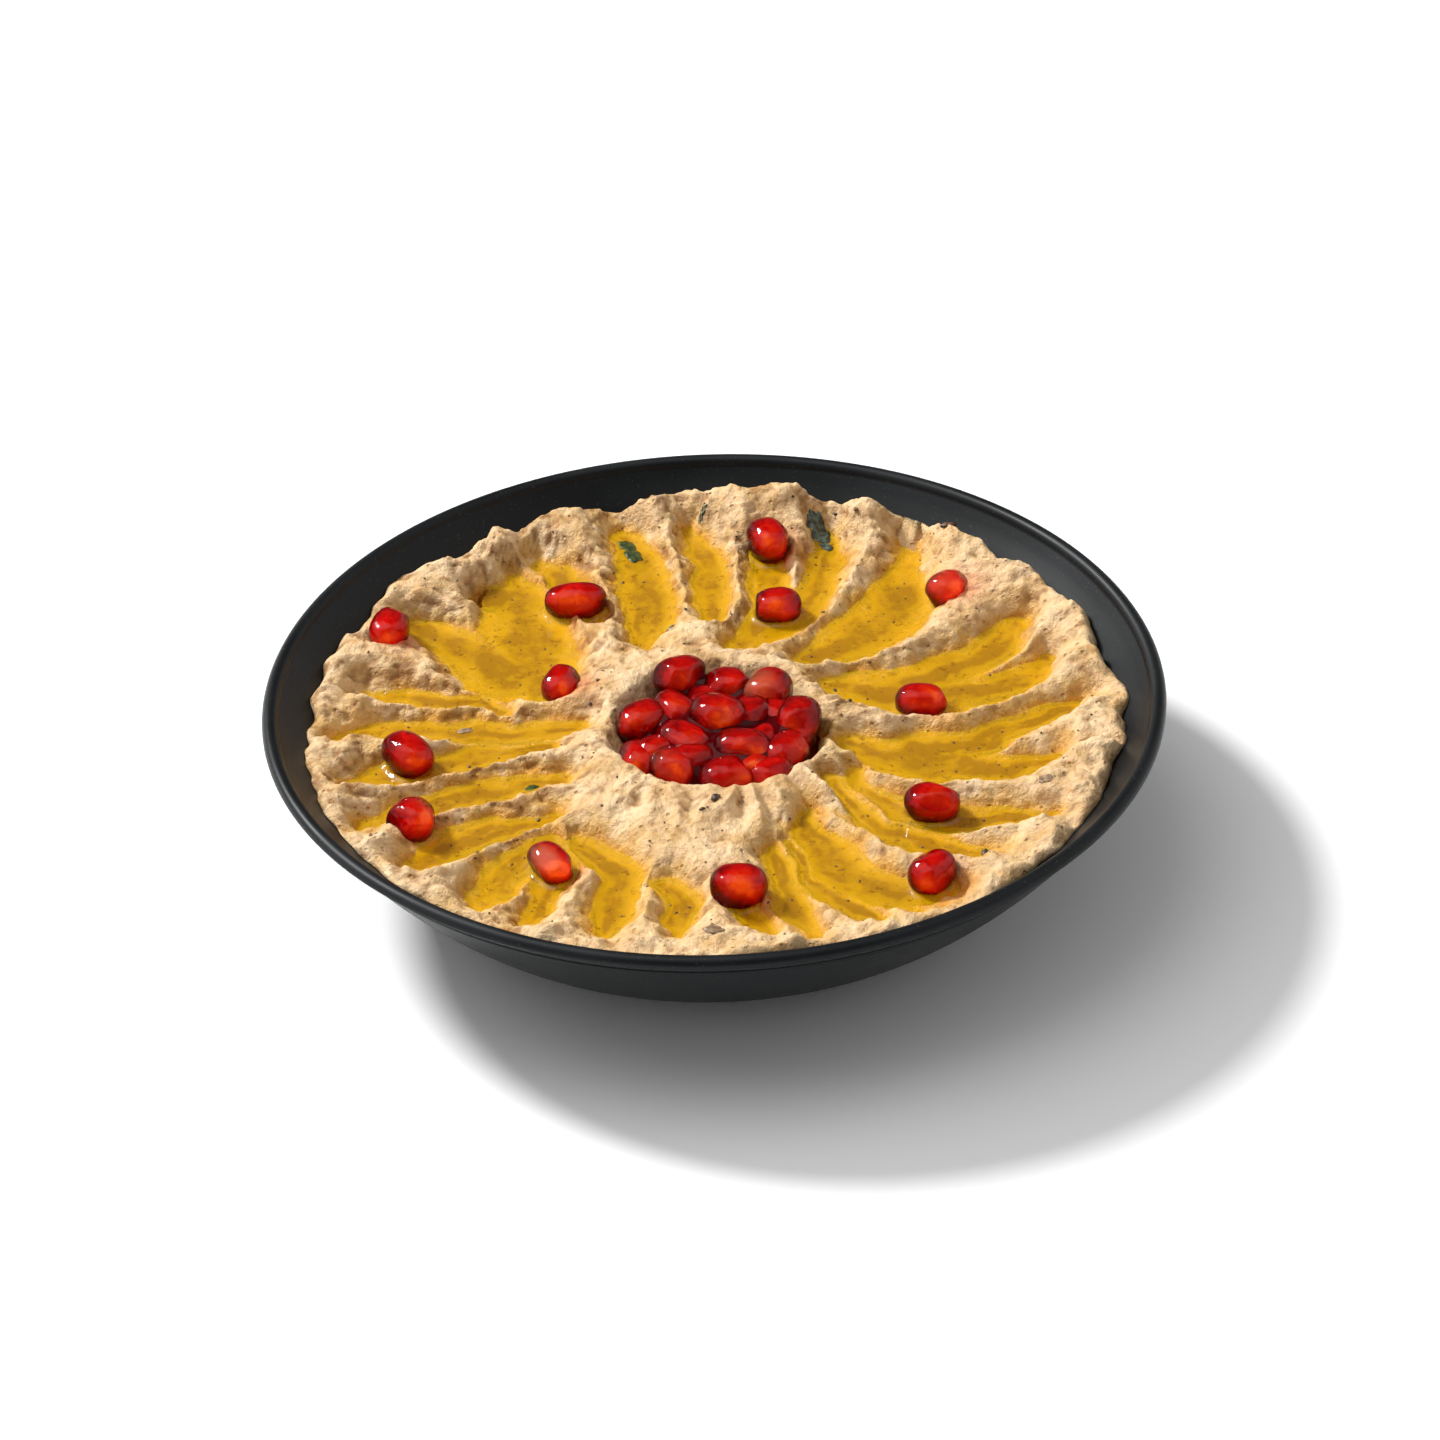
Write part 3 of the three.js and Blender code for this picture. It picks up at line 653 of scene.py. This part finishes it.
heapArils = [  # x, y, z, yaw, tilt, half length, half width, half depth, painted glow, paleness
    (-6.1, 11.7, 29.0, 15, 0, 5.4, 4.2, 3.8, 0.1, 0.0),
    (2.8, 9.2, 28.0, -20, 0, 5.0, 4.0, 3.6, 0.0, 0.0),
    (10.3, 6.0, 28.5, 60, -10, 5.4, 4.4, 4.2, 0.5, 0.45),
    (15.9, -3.0, 28.2, 75, 0, 5.4, 4.2, 4.0, 0.3, 0.0),
    (0.7, -2.7, 29.4, 20, 12, 5.6, 4.8, 4.3, 0.6, 0.0),
    (-13.5, -0.8, 27.5, 35, 0, 5.6, 4.2, 3.9, 0.3, 0.0),
    (-7.4, 1.4, 28.0, 110, 0, 5.2, 4.0, 3.8, 0.2, 0.0),
    (-5.8, -8.3, 27.8, -40, 0, 5.6, 3.9, 3.6, 0.1, 0.0),
    (-14.6, -12.0, 26.1, 100, 0, 4.8, 3.9, 3.7, 0.3, 0.0),
    (-8.4, -15.0, 26.4, -60, 0, 5.2, 4.0, 3.8, 0.5, 0.1),
    (5.0, -11.3, 28.0, -8, 0, 5.6, 3.8, 3.6, 0.5, 0.0),
    (2.0, -17.4, 25.8, 10, 0, 5.6, 4.2, 3.7, 0.2, 0.0),
    (13.2, -11.4, 26.6, 55, 0, 5.4, 3.9, 3.8, 0.3, 0.0),
    (10.4, -17.0, 25.5, 35, 0, 5.2, 3.8, 3.5, 0.0, 0.0),
    (6.5, -1.0, 27.6, 60, 0, 5.4, 4.0, 3.8, 0.1, 0.0),
]


def ballMesh(subdivisions):
    ball = bmesh.new()
    bmesh.ops.create_icosphere(ball, subdivisions=subdivisions, radius=1.0)
    places = np.array([vert.co[:] for vert in ball.verts])
    faces = np.array([[vert.index for vert in face.verts] for face in ball.faces])
    ball.free()
    return places, faces


def kernelPlaces(ball, seed, half, taper):  # a plump, slightly angular kernel with its long axis on X
    boxy = np.sign(ball) * np.abs(ball) ** aril["boxiness"]
    swell = 1 + taper * boxy[:, :1]
    places = boxy * np.array(half) * np.hstack([np.ones_like(swell), swell, swell])
    rng = np.random.default_rng(seed)
    for _ in range(5):  # flats where kernels pressed on each other in the fruit
        side = rng.normal(size=3)
        side /= np.linalg.norm(side)
        reach = places @ side
        limit = reach.max() * rng.uniform(0.8, 0.92)
        places = places - np.outer(np.maximum(reach - limit, 0) * 0.75, side)
    return places


def arilMaterial():
    # Pomegranate aril: taut wet skin over clear red juice. Its flesh runs from near-black crimson to a
    # glowing orange red by painted light: painted shade toward the edges, painted glow where light would
    # gather inside it, and an emitted painted glow.
    material, tree, surface = newMaterial("wet pomegranate skin")
    paintedGlow = addNode(tree, "ShaderNodeAttribute", attribute_name="paintedGlow").outputs["Fac"]
    pale = addNode(tree, "ShaderNodeAttribute", attribute_name="pale").outputs["Fac"]
    place = addNode(tree, "ShaderNodeTexCoord").outputs["Object"]
    streak = addNode(tree, "ShaderNodeTexNoise", {
        "Vector": place, "Scale": perMetre(aril["streakSize"]), "Detail": 3.0, "Distortion": 1.0})
    offset = addNode(tree, "ShaderNodeMapRange", {
        "Value": streak.outputs[0], "From Min": 0.3, "From Max": 0.7, "To Min": -0.12, "To Max": 0.12})
    uneven = addNode(tree, "ShaderNodeMath", {0: paintedGlow, 1: offset.outputs[0]})
    depth = addNode(tree, "ShaderNodeValToRGB", {"Fac": uneven.outputs[0]},
                    stops=[(0.0, aril["edge"]), (0.2, aril["deep"]), (0.45, aril["skin"]),
                           (0.75, aril["bright"]), (1.0, aril["paintedGlow"])])
    colour = addNode(tree, "ShaderNodeMix", {
        0: pale, 6: depth.outputs[0], 7: hexColour(aril["pale"])}, data_type="RGBA")
    # Painted glow: the flesh emits orange-red light where the painted glow is strongest, though it is no
    # lamp.
    inner = addNode(tree, "ShaderNodeValToRGB", {"Fac": uneven.outputs[0]},
                    stops=[(0.2, "000000"), (0.45, aril["emittedGlowLow"]), (0.75, aril["emittedGlowMid"]),
                           (1.0, aril["emittedGlowHigh"])])
    taut = addNode(tree, "ShaderNodeTexNoise", {
        "Vector": place, "Scale": perMetre(aril["skinWave"]), "Detail": 1.0})
    bump = addNode(tree, "ShaderNodeBump", {"Height": taut.outputs[0], "Strength": 0.45, "Distance": 0.0006})
    fillInputs(tree, surface, {
        "Base Color": colour.outputs[2], "Emission Color": inner.outputs[0], "Normal": bump.outputs[0],
        "Emission Strength": aril["emittedGlowStrength"], "Roughness": aril["roughness"], "IOR": aril["ior"],
        "Specular IOR Level": aril["specular"], "Transmission Weight": aril["transmission"],
        "Subsurface Weight": aril["subsurface"], "Subsurface Radius": (1.0, 0.1, 0.04),
        "Subsurface Scale": 0.0015})
    return material


def arilShares(local, half, turn, paintedGlow, pale, seed):  # painted glow where light would gather and painted shade toward the edges, and where the pale seed shows
    outward = local / np.array(half)
    outward = outward / np.linalg.norm(outward, axis=1, keepdims=True) @ turn.T
    rng = np.random.default_rng(seed)
    # Painted light: brightest facing the front with painted shade at the edges, a little painted glow on the
    # back, and painted glow spots on the side away from the lamp.
    share = 0.03 + 0.4 * smooth(0.15, 0.9, outward @ (0.15, -0.72, 0.66))
    share = share + 0.22 * smooth(0.3, 0.95, outward @ (0, 0.8, 0.6))
    for strength, spread in ((0.8, 0.14), (0.5, 0.06), (0.35, 0.04)):
        way = rng.normal(size=3) * (0.4, 0.25, 0.3) + (0.2, -0.75, 0.5)
        way /= np.linalg.norm(way)
        share = share + (0.3 + 0.7 * paintedGlow) * strength * np.exp((outward @ way - 1) / spread)
    paleShare = pale * smooth(0.55, 0.98, outward @ (-0.35, -0.45, 0.82))
    return np.clip(share, 0, 1), paleShare


def turned(yaw, tilt):
    return np.array(Euler((0, math.radians(tilt), math.radians(yaw)), "XYZ").to_matrix())


arilLook = arilMaterial()
ball, ballFaces = ballMesh(aril["subdivisions"])
for index, (name, shape) in enumerate(looseArils.items()):
    yaw, tilt, long, wide, deep, taper, paintedGlow, pale = shape
    low, high = (np.array(corner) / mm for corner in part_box(name))
    local = kernelPlaces(ball, 40 + index, (long, wide, deep), taper)
    turn = turned(yaw, tilt)
    places = local @ turn.T + (low + high) / 2
    piece = newPiece(name.replace("aril_", "looseAril"), places, ballFaces.tolist(), arilLook)
    paintedGlowShare, paleShare = arilShares(local, (long, wide, deep), turn, paintedGlow, pale, 40 + index)
    setShare(piece, "paintedGlow", paintedGlowShare)
    setShare(piece, "pale", paleShare)
    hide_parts(name)

shuffle = random.Random(8)
for index in range(aril["lowerCount"]):  # arils lower down, seen through the gaps
    turn = index * 2.4
    reach = aril["lowerRadius"] * math.sqrt((index + 0.5) / aril["lowerCount"])
    x = dip["wellCentre"][0] + reach * math.cos(turn)
    y = dip["wellCentre"][1] + reach * math.sin(turn)
    shape = (shuffle.uniform(4.4, 5.4), shuffle.uniform(3.5, 4.2), shuffle.uniform(3.3, 3.8))
    lie = (shuffle.uniform(25.6, 26.6), shuffle.uniform(0, 180), shuffle.uniform(-25, 25))
    heapArils.append((x, y, *lie, *shape, 0.2, 0.0))
heapPlaces = []
heapFaces = []
heapPaintedGlow = []
heapPale = []
for index, (x, y, z, yaw, tilt, long, wide, deep, paintedGlow, pale) in enumerate(heapArils):
    local = kernelPlaces(ball, 70 + index, (long, wide, deep), 0.0)
    heapFaces += (ballFaces + len(ball) * index).tolist()
    turn = turned(yaw, tilt)
    heapPlaces.append(local @ turn.T + np.array((x, y, z)))
    paintedGlowShare, paleShare = arilShares(local, (long, wide, deep), turn, paintedGlow, pale, 70 + index)
    heapPaintedGlow.append(paintedGlowShare * aril["heapPaintedGlow"])
    heapPale.append(paleShare)
heapPiece = newPiece("heapArils", np.vstack(heapPlaces), heapFaces, arilLook)
setShare(heapPiece, "paintedGlow", np.concatenate(heapPaintedGlow))
setShare(heapPiece, "pale", np.concatenate(heapPale))
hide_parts("aril_heap")
print("arils:", len(looseArils), "loose,", len(heapArils), "in the heap")

juice = {  # the core of the heap
    "radius": 19.0,
    "slant": 3.0,  # how far its floor stays inside its edge
    "cells": 90,
    "rasterCell": 0.5,
    "spread": 1.4,  # how far the juice rounds off the gaps between arils
    "low": 23.8,
    "bottom": 22.1,
    "colour": "460003",
    "roughness": 0.05,
    "ior": 1.35,
    "specular": 0.25,
}


def juiceMaterial():
    # Pomegranate juice pooled between the arils: almost black crimson with a mirror surface.
    material, tree, surface = newMaterial("pomegranate juice")
    fillInputs(tree, surface, {
        "Base Color": hexColour(juice["colour"]), "Roughness": juice["roughness"], "IOR": juice["ior"],
        "Specular IOR Level": juice["specular"]})
    return material


def juiceHeight(x, y, kernels):  # a blurred map of the arils' tops, read at x and y from the well's middle
    cell = juice["rasterCell"]
    half = juice["radius"] + 2
    count = int(2 * half / cell) + 1
    tops = np.full((count, count), juice["low"])
    column, row = (np.clip(np.rint((kernels[:, axis] - dip["wellCentre"][axis] + half) / cell).astype(int),
                           0, count - 1) for axis in (0, 1))
    np.maximum.at(tops, (column, row), kernels[:, 2])
    margin = 8
    weights = np.exp(-0.5 * (np.arange(-margin, margin + 1) * cell / juice["spread"]) ** 2)
    weights /= weights.sum()
    for axis in (0, 1):
        padded = np.pad(tops, margin, "edge")
        blurred = np.apply_along_axis(lambda line: np.convolve(line, weights, "same"), axis, padded)
        tops = blurred[margin:-margin, margin:-margin]
    across = (x + half) / cell
    along = (y + half) / cell
    i = np.clip(across.astype(int), 0, count - 2)
    j = np.clip(along.astype(int), 0, count - 2)
    u = across - i
    v = along - j
    return ((1 - u) * (1 - v) * tops[i, j] + u * (1 - v) * tops[i + 1, j]
            + (1 - u) * v * tops[i, j + 1] + u * v * tops[i + 1, j + 1])


x, y = discGrid(juice["cells"], juice["radius"])
z = juiceHeight(x, y, np.vstack(heapPlaces))
z = z + (juice["low"] - z) * smooth(juice["radius"] - 3.5, juice["radius"], np.hypot(x, y))
juiceFloor = (juice["radius"] - juice["slant"], juice["bottom"])
places, faces = closeBelow(np.stack([x, y, z], 1), gridFaces(juice["cells"]), [juiceFloor], juice["cells"])
places = places + np.array((*dip["wellCentre"], 0.0))
newPiece("heapJuice", places, faces, juiceMaterial())
print("juice:", len(faces), "faces")

# Olive oil, lying in the furrows

oil = {
    "rimRadius": 72.5,  # no oil lies outside this
    "meniscus": 0.28,  # how high its edge climbs the dip
    "meniscusRun": 0.45,
    "climb": 0.9,  # how high it climbs an aril
    "climbRun": 0.55,
    "skirt": 0.35,  # how far its underside lies in the dip
    "thin": "F6CE1C",
    "body": "F0BA04",
    "deep": "A87804",
    "fleck": "644000",
    "clearest": 0.3,  # how much of the dip the thinnest oil hides
    "densest": 0.75,
    "densestDepth": 1.6,
    "cloudSize": 3.0,
    "fleckSize": 1.7,
    "bodyRoughness": 0.4,
    "bodySpecular": 0.1,
    "roughness": 0.04,
    "ior": 1.47,
}


def oilMaterial():
    # Extra virgin olive oil over pale dip: clear gold where it is thin, olive amber where it is deep,
    # with a mirror surface and the mottled dip showing through it.
    material, tree, surface = newMaterial("olive oil")
    place = addNode(tree, "ShaderNodeTexCoord").outputs["Object"]
    depth = addNode(tree, "ShaderNodeAttribute", attribute_name="oilDepth").outputs["Fac"]
    cloud = addNode(tree, "ShaderNodeTexNoise", {
        "Vector": place, "Scale": perMetre(oil["cloudSize"]), "Detail": 6.0, "Roughness": 0.7})
    offset = addNode(tree, "ShaderNodeMapRange", {
        "Value": cloud.outputs[0], "From Min": 0.3, "From Max": 0.7, "To Min": -0.3, "To Max": 0.3})
    mixed = addNode(tree, "ShaderNodeMath", {0: depth, 1: offset.outputs[0]})
    colour = addNode(tree, "ShaderNodeValToRGB", {"Fac": mixed.outputs[0]},
                     stops=[(0.0, oil["thin"]), (0.4, oil["body"]), (1.0, oil["deep"])])
    crumb = addNode(tree, "ShaderNodeTexNoise", {
        "Vector": place, "Scale": perMetre(oil["fleckSize"]), "Detail": 4.0, "Roughness": 0.7})
    fleck = addNode(tree, "ShaderNodeMapRange", {
        "Value": crumb.outputs[0], "From Min": 0.58, "From Max": 0.68, "To Max": 0.7})
    flecked = addNode(tree, "ShaderNodeMix", {
        0: fleck.outputs[0], 6: colour.outputs[0], 7: hexColour(oil["fleck"])}, data_type="RGBA")
    body = addNode(tree, "ShaderNodeMapRange", {
        "Value": mixed.outputs[0], "To Min": oil["clearest"], "To Max": oil["densest"]})
    fillInputs(tree, surface, {
        "Base Color": flecked.outputs[2], "Alpha": body.outputs[0], "Roughness": oil["bodyRoughness"],
        "IOR": oil["ior"], "Specular IOR Level": oil["bodySpecular"], "Coat Weight": 1.0,
        "Coat Roughness": oil["roughness"], "Coat IOR": oil["ior"]})
    return material


def makeOil():
    depth = dip["oilLevel"] - surfacePlaces[:, 2]
    fromWell = wellDistance(surfacePlaces[:, 0], surfacePlaces[:, 1])
    radius = np.hypot(surfacePlaces[:, 0], surfacePlaces[:, 1])
    wet = (depth > -0.3) & (bankShare < 1.3)
    wet = wet & (fromWell > dip["wellLipRadius"] + 1) & (radius < oil["rimRadius"])
    kept = surfaceFaces[wet[surfaceFaces].any(1)]
    used = np.unique(kept)
    renumber = np.full(len(surfacePlaces), -1)
    renumber[used] = np.arange(len(used))
    top = surfacePlaces[used].copy()
    topDepth = depth[used]
    top[:, 2] = dip["oilLevel"] + oil["meniscus"] * np.exp(-np.maximum(topDepth, 0) / oil["meniscusRun"])
    for name, (yaw, _, long, wide, *_) in looseArils.items():  # it climbs a little on every aril it touches
        middle = sum(np.array(corner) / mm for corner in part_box(name)) / 2
        across = (top - middle) @ turned(yaw, 0)
        aside = (np.hypot(across[:, 0] / long, across[:, 1] / wide) - 0.94) * wide
        top[:, 2] += oil["climb"] * np.exp(-np.abs(aside) / oil["climbRun"])
    bottom = surfacePlaces[used].copy()
    bottom[:, 2] = np.minimum(bottom[:, 2], dip["oilLevel"]) - oil["skirt"]
    topFaces = renumber[kept]
    bottomFaces = topFaces[:, ::-1] + len(used)
    edges = [tuple(edge) for i in range(4) for edge in topFaces[:, [i, (i + 1) % 4]]]
    known = set(edges)
    sides = [(b, a, a + len(used), b + len(used)) for a, b in edges if (b, a) not in known]
    faces = topFaces.tolist() + bottomFaces.tolist() + sides
    piece = newPiece("oilPools", np.vstack([top, bottom]), faces, oilMaterial())
    share = np.clip(topDepth / oil["densestDepth"], 0, 1) ** 1.4 + 0.45 * streakShare[used]
    setShare(piece, "oilDepth", np.concatenate([share, share]))
    return piece


oilPiece = makeOil()
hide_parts(*[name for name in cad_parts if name.startswith("oil_")])
print("oil:", len(oilPiece.data.polygons), "faces")

# Bits of charred skin and herb. Each row is x, y, length, width and yaw.

bits = {
    "smudge": [(60.7, -25.6, 2.6, 2.0, 20), (-47.3, 2.5, 2.8, 1.8, 10), (-1.4, -69.0, 3.8, 2.6, 5)],
    "charred": [
        (47.4, 58.0, 3.2, 1.5, 10), (-0.3, -29.9, 2.2, 1.7, 60), (-2.8, -33.0, 1.4, 0.8, 20),
        (48.5, -42.6, 1.5, 2.4, 0), (-21.9, 12.1, 0.9, 0.6, 30), (-23.5, 6.4, 0.8, 0.6, 80),
        (-29.6, 22.1, 1.0, 0.7, 10), (25.5, 69.5, 1.0, 0.8, 0), (17.0, 70.5, 0.9, 0.8, 0),
        (29.5, 65.5, 0.9, 1.2, 20),
    ],
    "herb": [(-16.4, 65.4, 4.4, 2.6, -50), (-15.0, 61.8, 5.0, 3.2, -70), (-34.5, -17.2, 2.8, 1.8, 20),
             (-8.0, 33.5, 1.8, 1.0, 10), (-1.0, 70.5, 1.8, 1.2, 20), (68.5, -2.6, 1.6, 1.2, 40)],
    "skin": [(22.2, 67.0, 6.2, 4.0, 108), (23.4, 62.6, 3.4, 2.2, 120)],
    "ragged": 0.45,  # how uneven their outlines are
    "lift": 0.05,
    "speckCount": 300,
    "speckSize": (0.18, 0.45),
    "speckField": 74.0,  # radius that the specks lie within
    "wellClear": 23.0,
    "char": "33211A",
    "charBrown": "6E4A2A",
    "leaf": "1E290A",
    "leafPale": "3E4E18",
    "skinGrey": "2C362E",
    "skinPale": "5E6A5C",
    "smudgeBrown": "7C6248",
    "smudgePale": "A88A68",
}


def bitMaterial(name, dark, light, patch, roughness):
    # Charred, chopped or torn plant skin: two tones in soft patches of this size, drier than the dip.
    material, tree, surface = newMaterial(name)
    place = addNode(tree, "ShaderNodeTexCoord").outputs["Object"]
    cloud = addNode(tree, "ShaderNodeTexNoise", {"Vector": place, "Scale": perMetre(patch), "Detail": 2.0})
    colour = addNode(tree, "ShaderNodeValToRGB", {"Fac": cloud.outputs[0]},
                     stops=[(0.42, bits[dark]), (0.6, bits[light])])
    fillInputs(tree, surface, {"Base Color": colour.outputs[0], "Roughness": roughness})
    return material


def surfaceHeight(points):  # of the dip, or of the oil where it covers the dip
    heights = []
    for x, y in points:
        nearest = np.argmin((surfacePlaces[:, 0] - x) ** 2 + (surfacePlaces[:, 1] - y) ** 2)
        level = dip["oilLevel"] if bankShare[nearest] < 0.6 else 0
        heights.append(max(surfacePlaces[nearest, 2], level))
    return np.array(heights)


def addBits(name, rows, material, thickness, draped=False):  # a draped bit follows the ground under it
    lump, lumpFaces = ballMesh(3 if draped else 2)
    places = []
    faces = []
    for index, (x, y, long, wide, yaw) in enumerate(rows):
        ragged = lump * (1 + bits["ragged"] * noiseAt(lump, 0.6, 20 + index))[:, None]
        body = ragged * np.array((long / 2, wide / 2, min(long, wide) * thickness)) @ turned(yaw, 0).T
        body[:, :2] += (x, y)
        body[:, 2] += surfaceHeight(body[:, :2] if draped else [(x, y)]) + bits["lift"]
        faces += (lumpFaces + len(lump) * index).tolist()
        places.append(body)
    return newPiece(name, np.vstack(places), faces, material)


rng = random.Random(3)
specks = []
while len(specks) < bits["speckCount"]:
    x = rng.uniform(-bits["speckField"], bits["speckField"])
    y = rng.uniform(-bits["speckField"], bits["speckField"])
    if wellDistance(x, y) > bits["wellClear"] and math.hypot(x, y) < bits["speckField"]:
        size = rng.uniform(*bits["speckSize"]) * (1.6 if rng.random() < 0.12 else 1.0)
        specks.append((x, y, size * rng.uniform(1, 1.9), size, rng.uniform(0, 180)))
charLook = bitMaterial("charred aubergine skin", "char", "charBrown", 0.8, 0.5)
leafLook = bitMaterial("chopped parsley", "leaf", "leafPale", 1.0, 0.4)
skinLook = bitMaterial("aubergine skin", "skinGrey", "skinPale", 1.2, 0.3)
smudgeLook = bitMaterial("grey aubergine skin", "smudgeBrown", "smudgePale", 1.0, 0.5)
addBits("charredFlecks", bits["charred"] + specks, charLook, 0.3)
addBits("herbFlecks", bits["herb"], leafLook, 0.05, True)
addBits("skinFlakes", bits["skin"], skinLook, 0.06, True)
addBits("skinSmudges", bits["smudge"], smudgeLook, 0.05, True)
larger = sum(len(bits[kind]) for kind in ("charred", "herb", "skin", "smudge"))
print("bits:", len(specks), "specks and", larger, "larger ones")

# Floor, light and camera, in metres

stage = {
    "floorSize": 6.0,
    "floor": "F4F4F4",
    "floorRoughness": 0.9,
    "worldStrength": 0.78,
    "darkFlags": [(0, 0.83, 0.56), (0, -0.8, 0.6)],  # boards that keep the shine off the oil and the dish
    "flagShade": 0.12,
    "softBoxes": [  # azimuth, elevation, distance, size, power
        (165.0, 64.0, 2.4, 2.5, 15.0),
        (143.0, 43.0, 2.4, 0.46, 70.0),
    ],
}


def floorMaterial():
    # White painted board: flat and even, so that it shows only the shadow.
    material, tree, surface = newMaterial("white painted board")
    fillInputs(tree, surface, {
        "Base Color": hexColour(stage["floor"]), "Roughness": stage["floorRoughness"]})
    return material


half = stage["floorSize"] / 2
floorMesh = bpy.data.meshes.new("floor")
floorMesh.from_pydata([(-half, -half, 0), (half, -half, 0), (half, half, 0), (-half, half, 0)],
                      [], [(0, 1, 2, 3)])
floorMesh.materials.append(floorMaterial())
floor = bpy.data.objects.new("floor", floorMesh)
bpy.context.scene.collection.objects.link(floor)

world = bpy.data.worlds.new("studio")
world.use_nodes = True
room = world.node_tree
way = addNode(room, "ShaderNodeTexCoord").outputs["Generated"]
shades = []
for flag in stage["darkFlags"]:
    toFlag = addNode(room, "ShaderNodeVectorMath", {0: way, 1: Vector(flag).normalized()},
                     operation="DOT_PRODUCT")
    shades.append(addNode(room, "ShaderNodeMapRange", {
        "Value": toFlag.outputs["Value"], "From Min": 0.7, "From Max": 0.9, "To Min": 1.0,
        "To Max": stage["flagShade"]}, interpolation_type="SMOOTHSTEP"))
level = addNode(room, "ShaderNodeMath", {0: shades[0].outputs[0], 1: stage["worldStrength"]},
                operation="MULTIPLY")
for shade in shades[1:]:
    level = addNode(room, "ShaderNodeMath", {0: level.outputs[0], 1: shade.outputs[0]}, operation="MULTIPLY")
fillInputs(room, room.nodes["Background"], {0: (1, 1, 1, 1), 1: level.outputs[0]})
bpy.context.scene.world = world


def addSoftBox(name, azimuth, elevation, distance, size, power):
    lamp = bpy.data.lights.new(name, "AREA")
    lamp.shape = "DISK"
    lamp.size = size
    lamp.energy = power
    holder = bpy.data.objects.new(name, lamp)
    turn = math.radians(azimuth)
    rise = math.radians(elevation)
    aim = Vector((0, 0, 0.02))
    way = Vector((math.cos(rise) * math.cos(turn), math.cos(rise) * math.sin(turn), math.sin(rise)))
    holder.location = aim + way * distance
    holder.rotation_euler = way.to_track_quat("Z", "Y").to_euler()
    bpy.context.scene.collection.objects.link(holder)


for index, box in enumerate(stage["softBoxes"]):
    addSoftBox("softBox" + str(index + 1), *box)

camera = {
    "distance": 1.0,
    "elevation": 34.19,
    "roll": -1.95,
    "lens": 132.9,
    "sensorWidth": 36.0,
    "shiftX": 0.0046,
    "shiftY": -0.0218,
}

lensData = bpy.data.cameras.new("view")
lensData.lens = camera["lens"]
lensData.sensor_width = camera["sensorWidth"]
lensData.shift_x = camera["shiftX"]
lensData.shift_y = camera["shiftY"]
viewer = bpy.data.objects.new("view", lensData)
rise = math.radians(camera["elevation"])
back = camera["distance"] * math.cos(rise)
viewer.location = (0, -back, dish["height"] * mm + camera["distance"] * math.sin(rise))
facing = Matrix.Rotation(math.pi / 2 - rise, 4, "X") @ Matrix.Rotation(math.radians(camera["roll"]), 4, "Z")
viewer.rotation_euler = facing.to_euler()
bpy.context.scene.collection.objects.link(viewer)
bpy.context.scene.camera = viewer
bpy.context.scene.view_settings.view_transform = "Standard"
print("stage:", len(stage["softBoxes"]), "lamps and a camera")
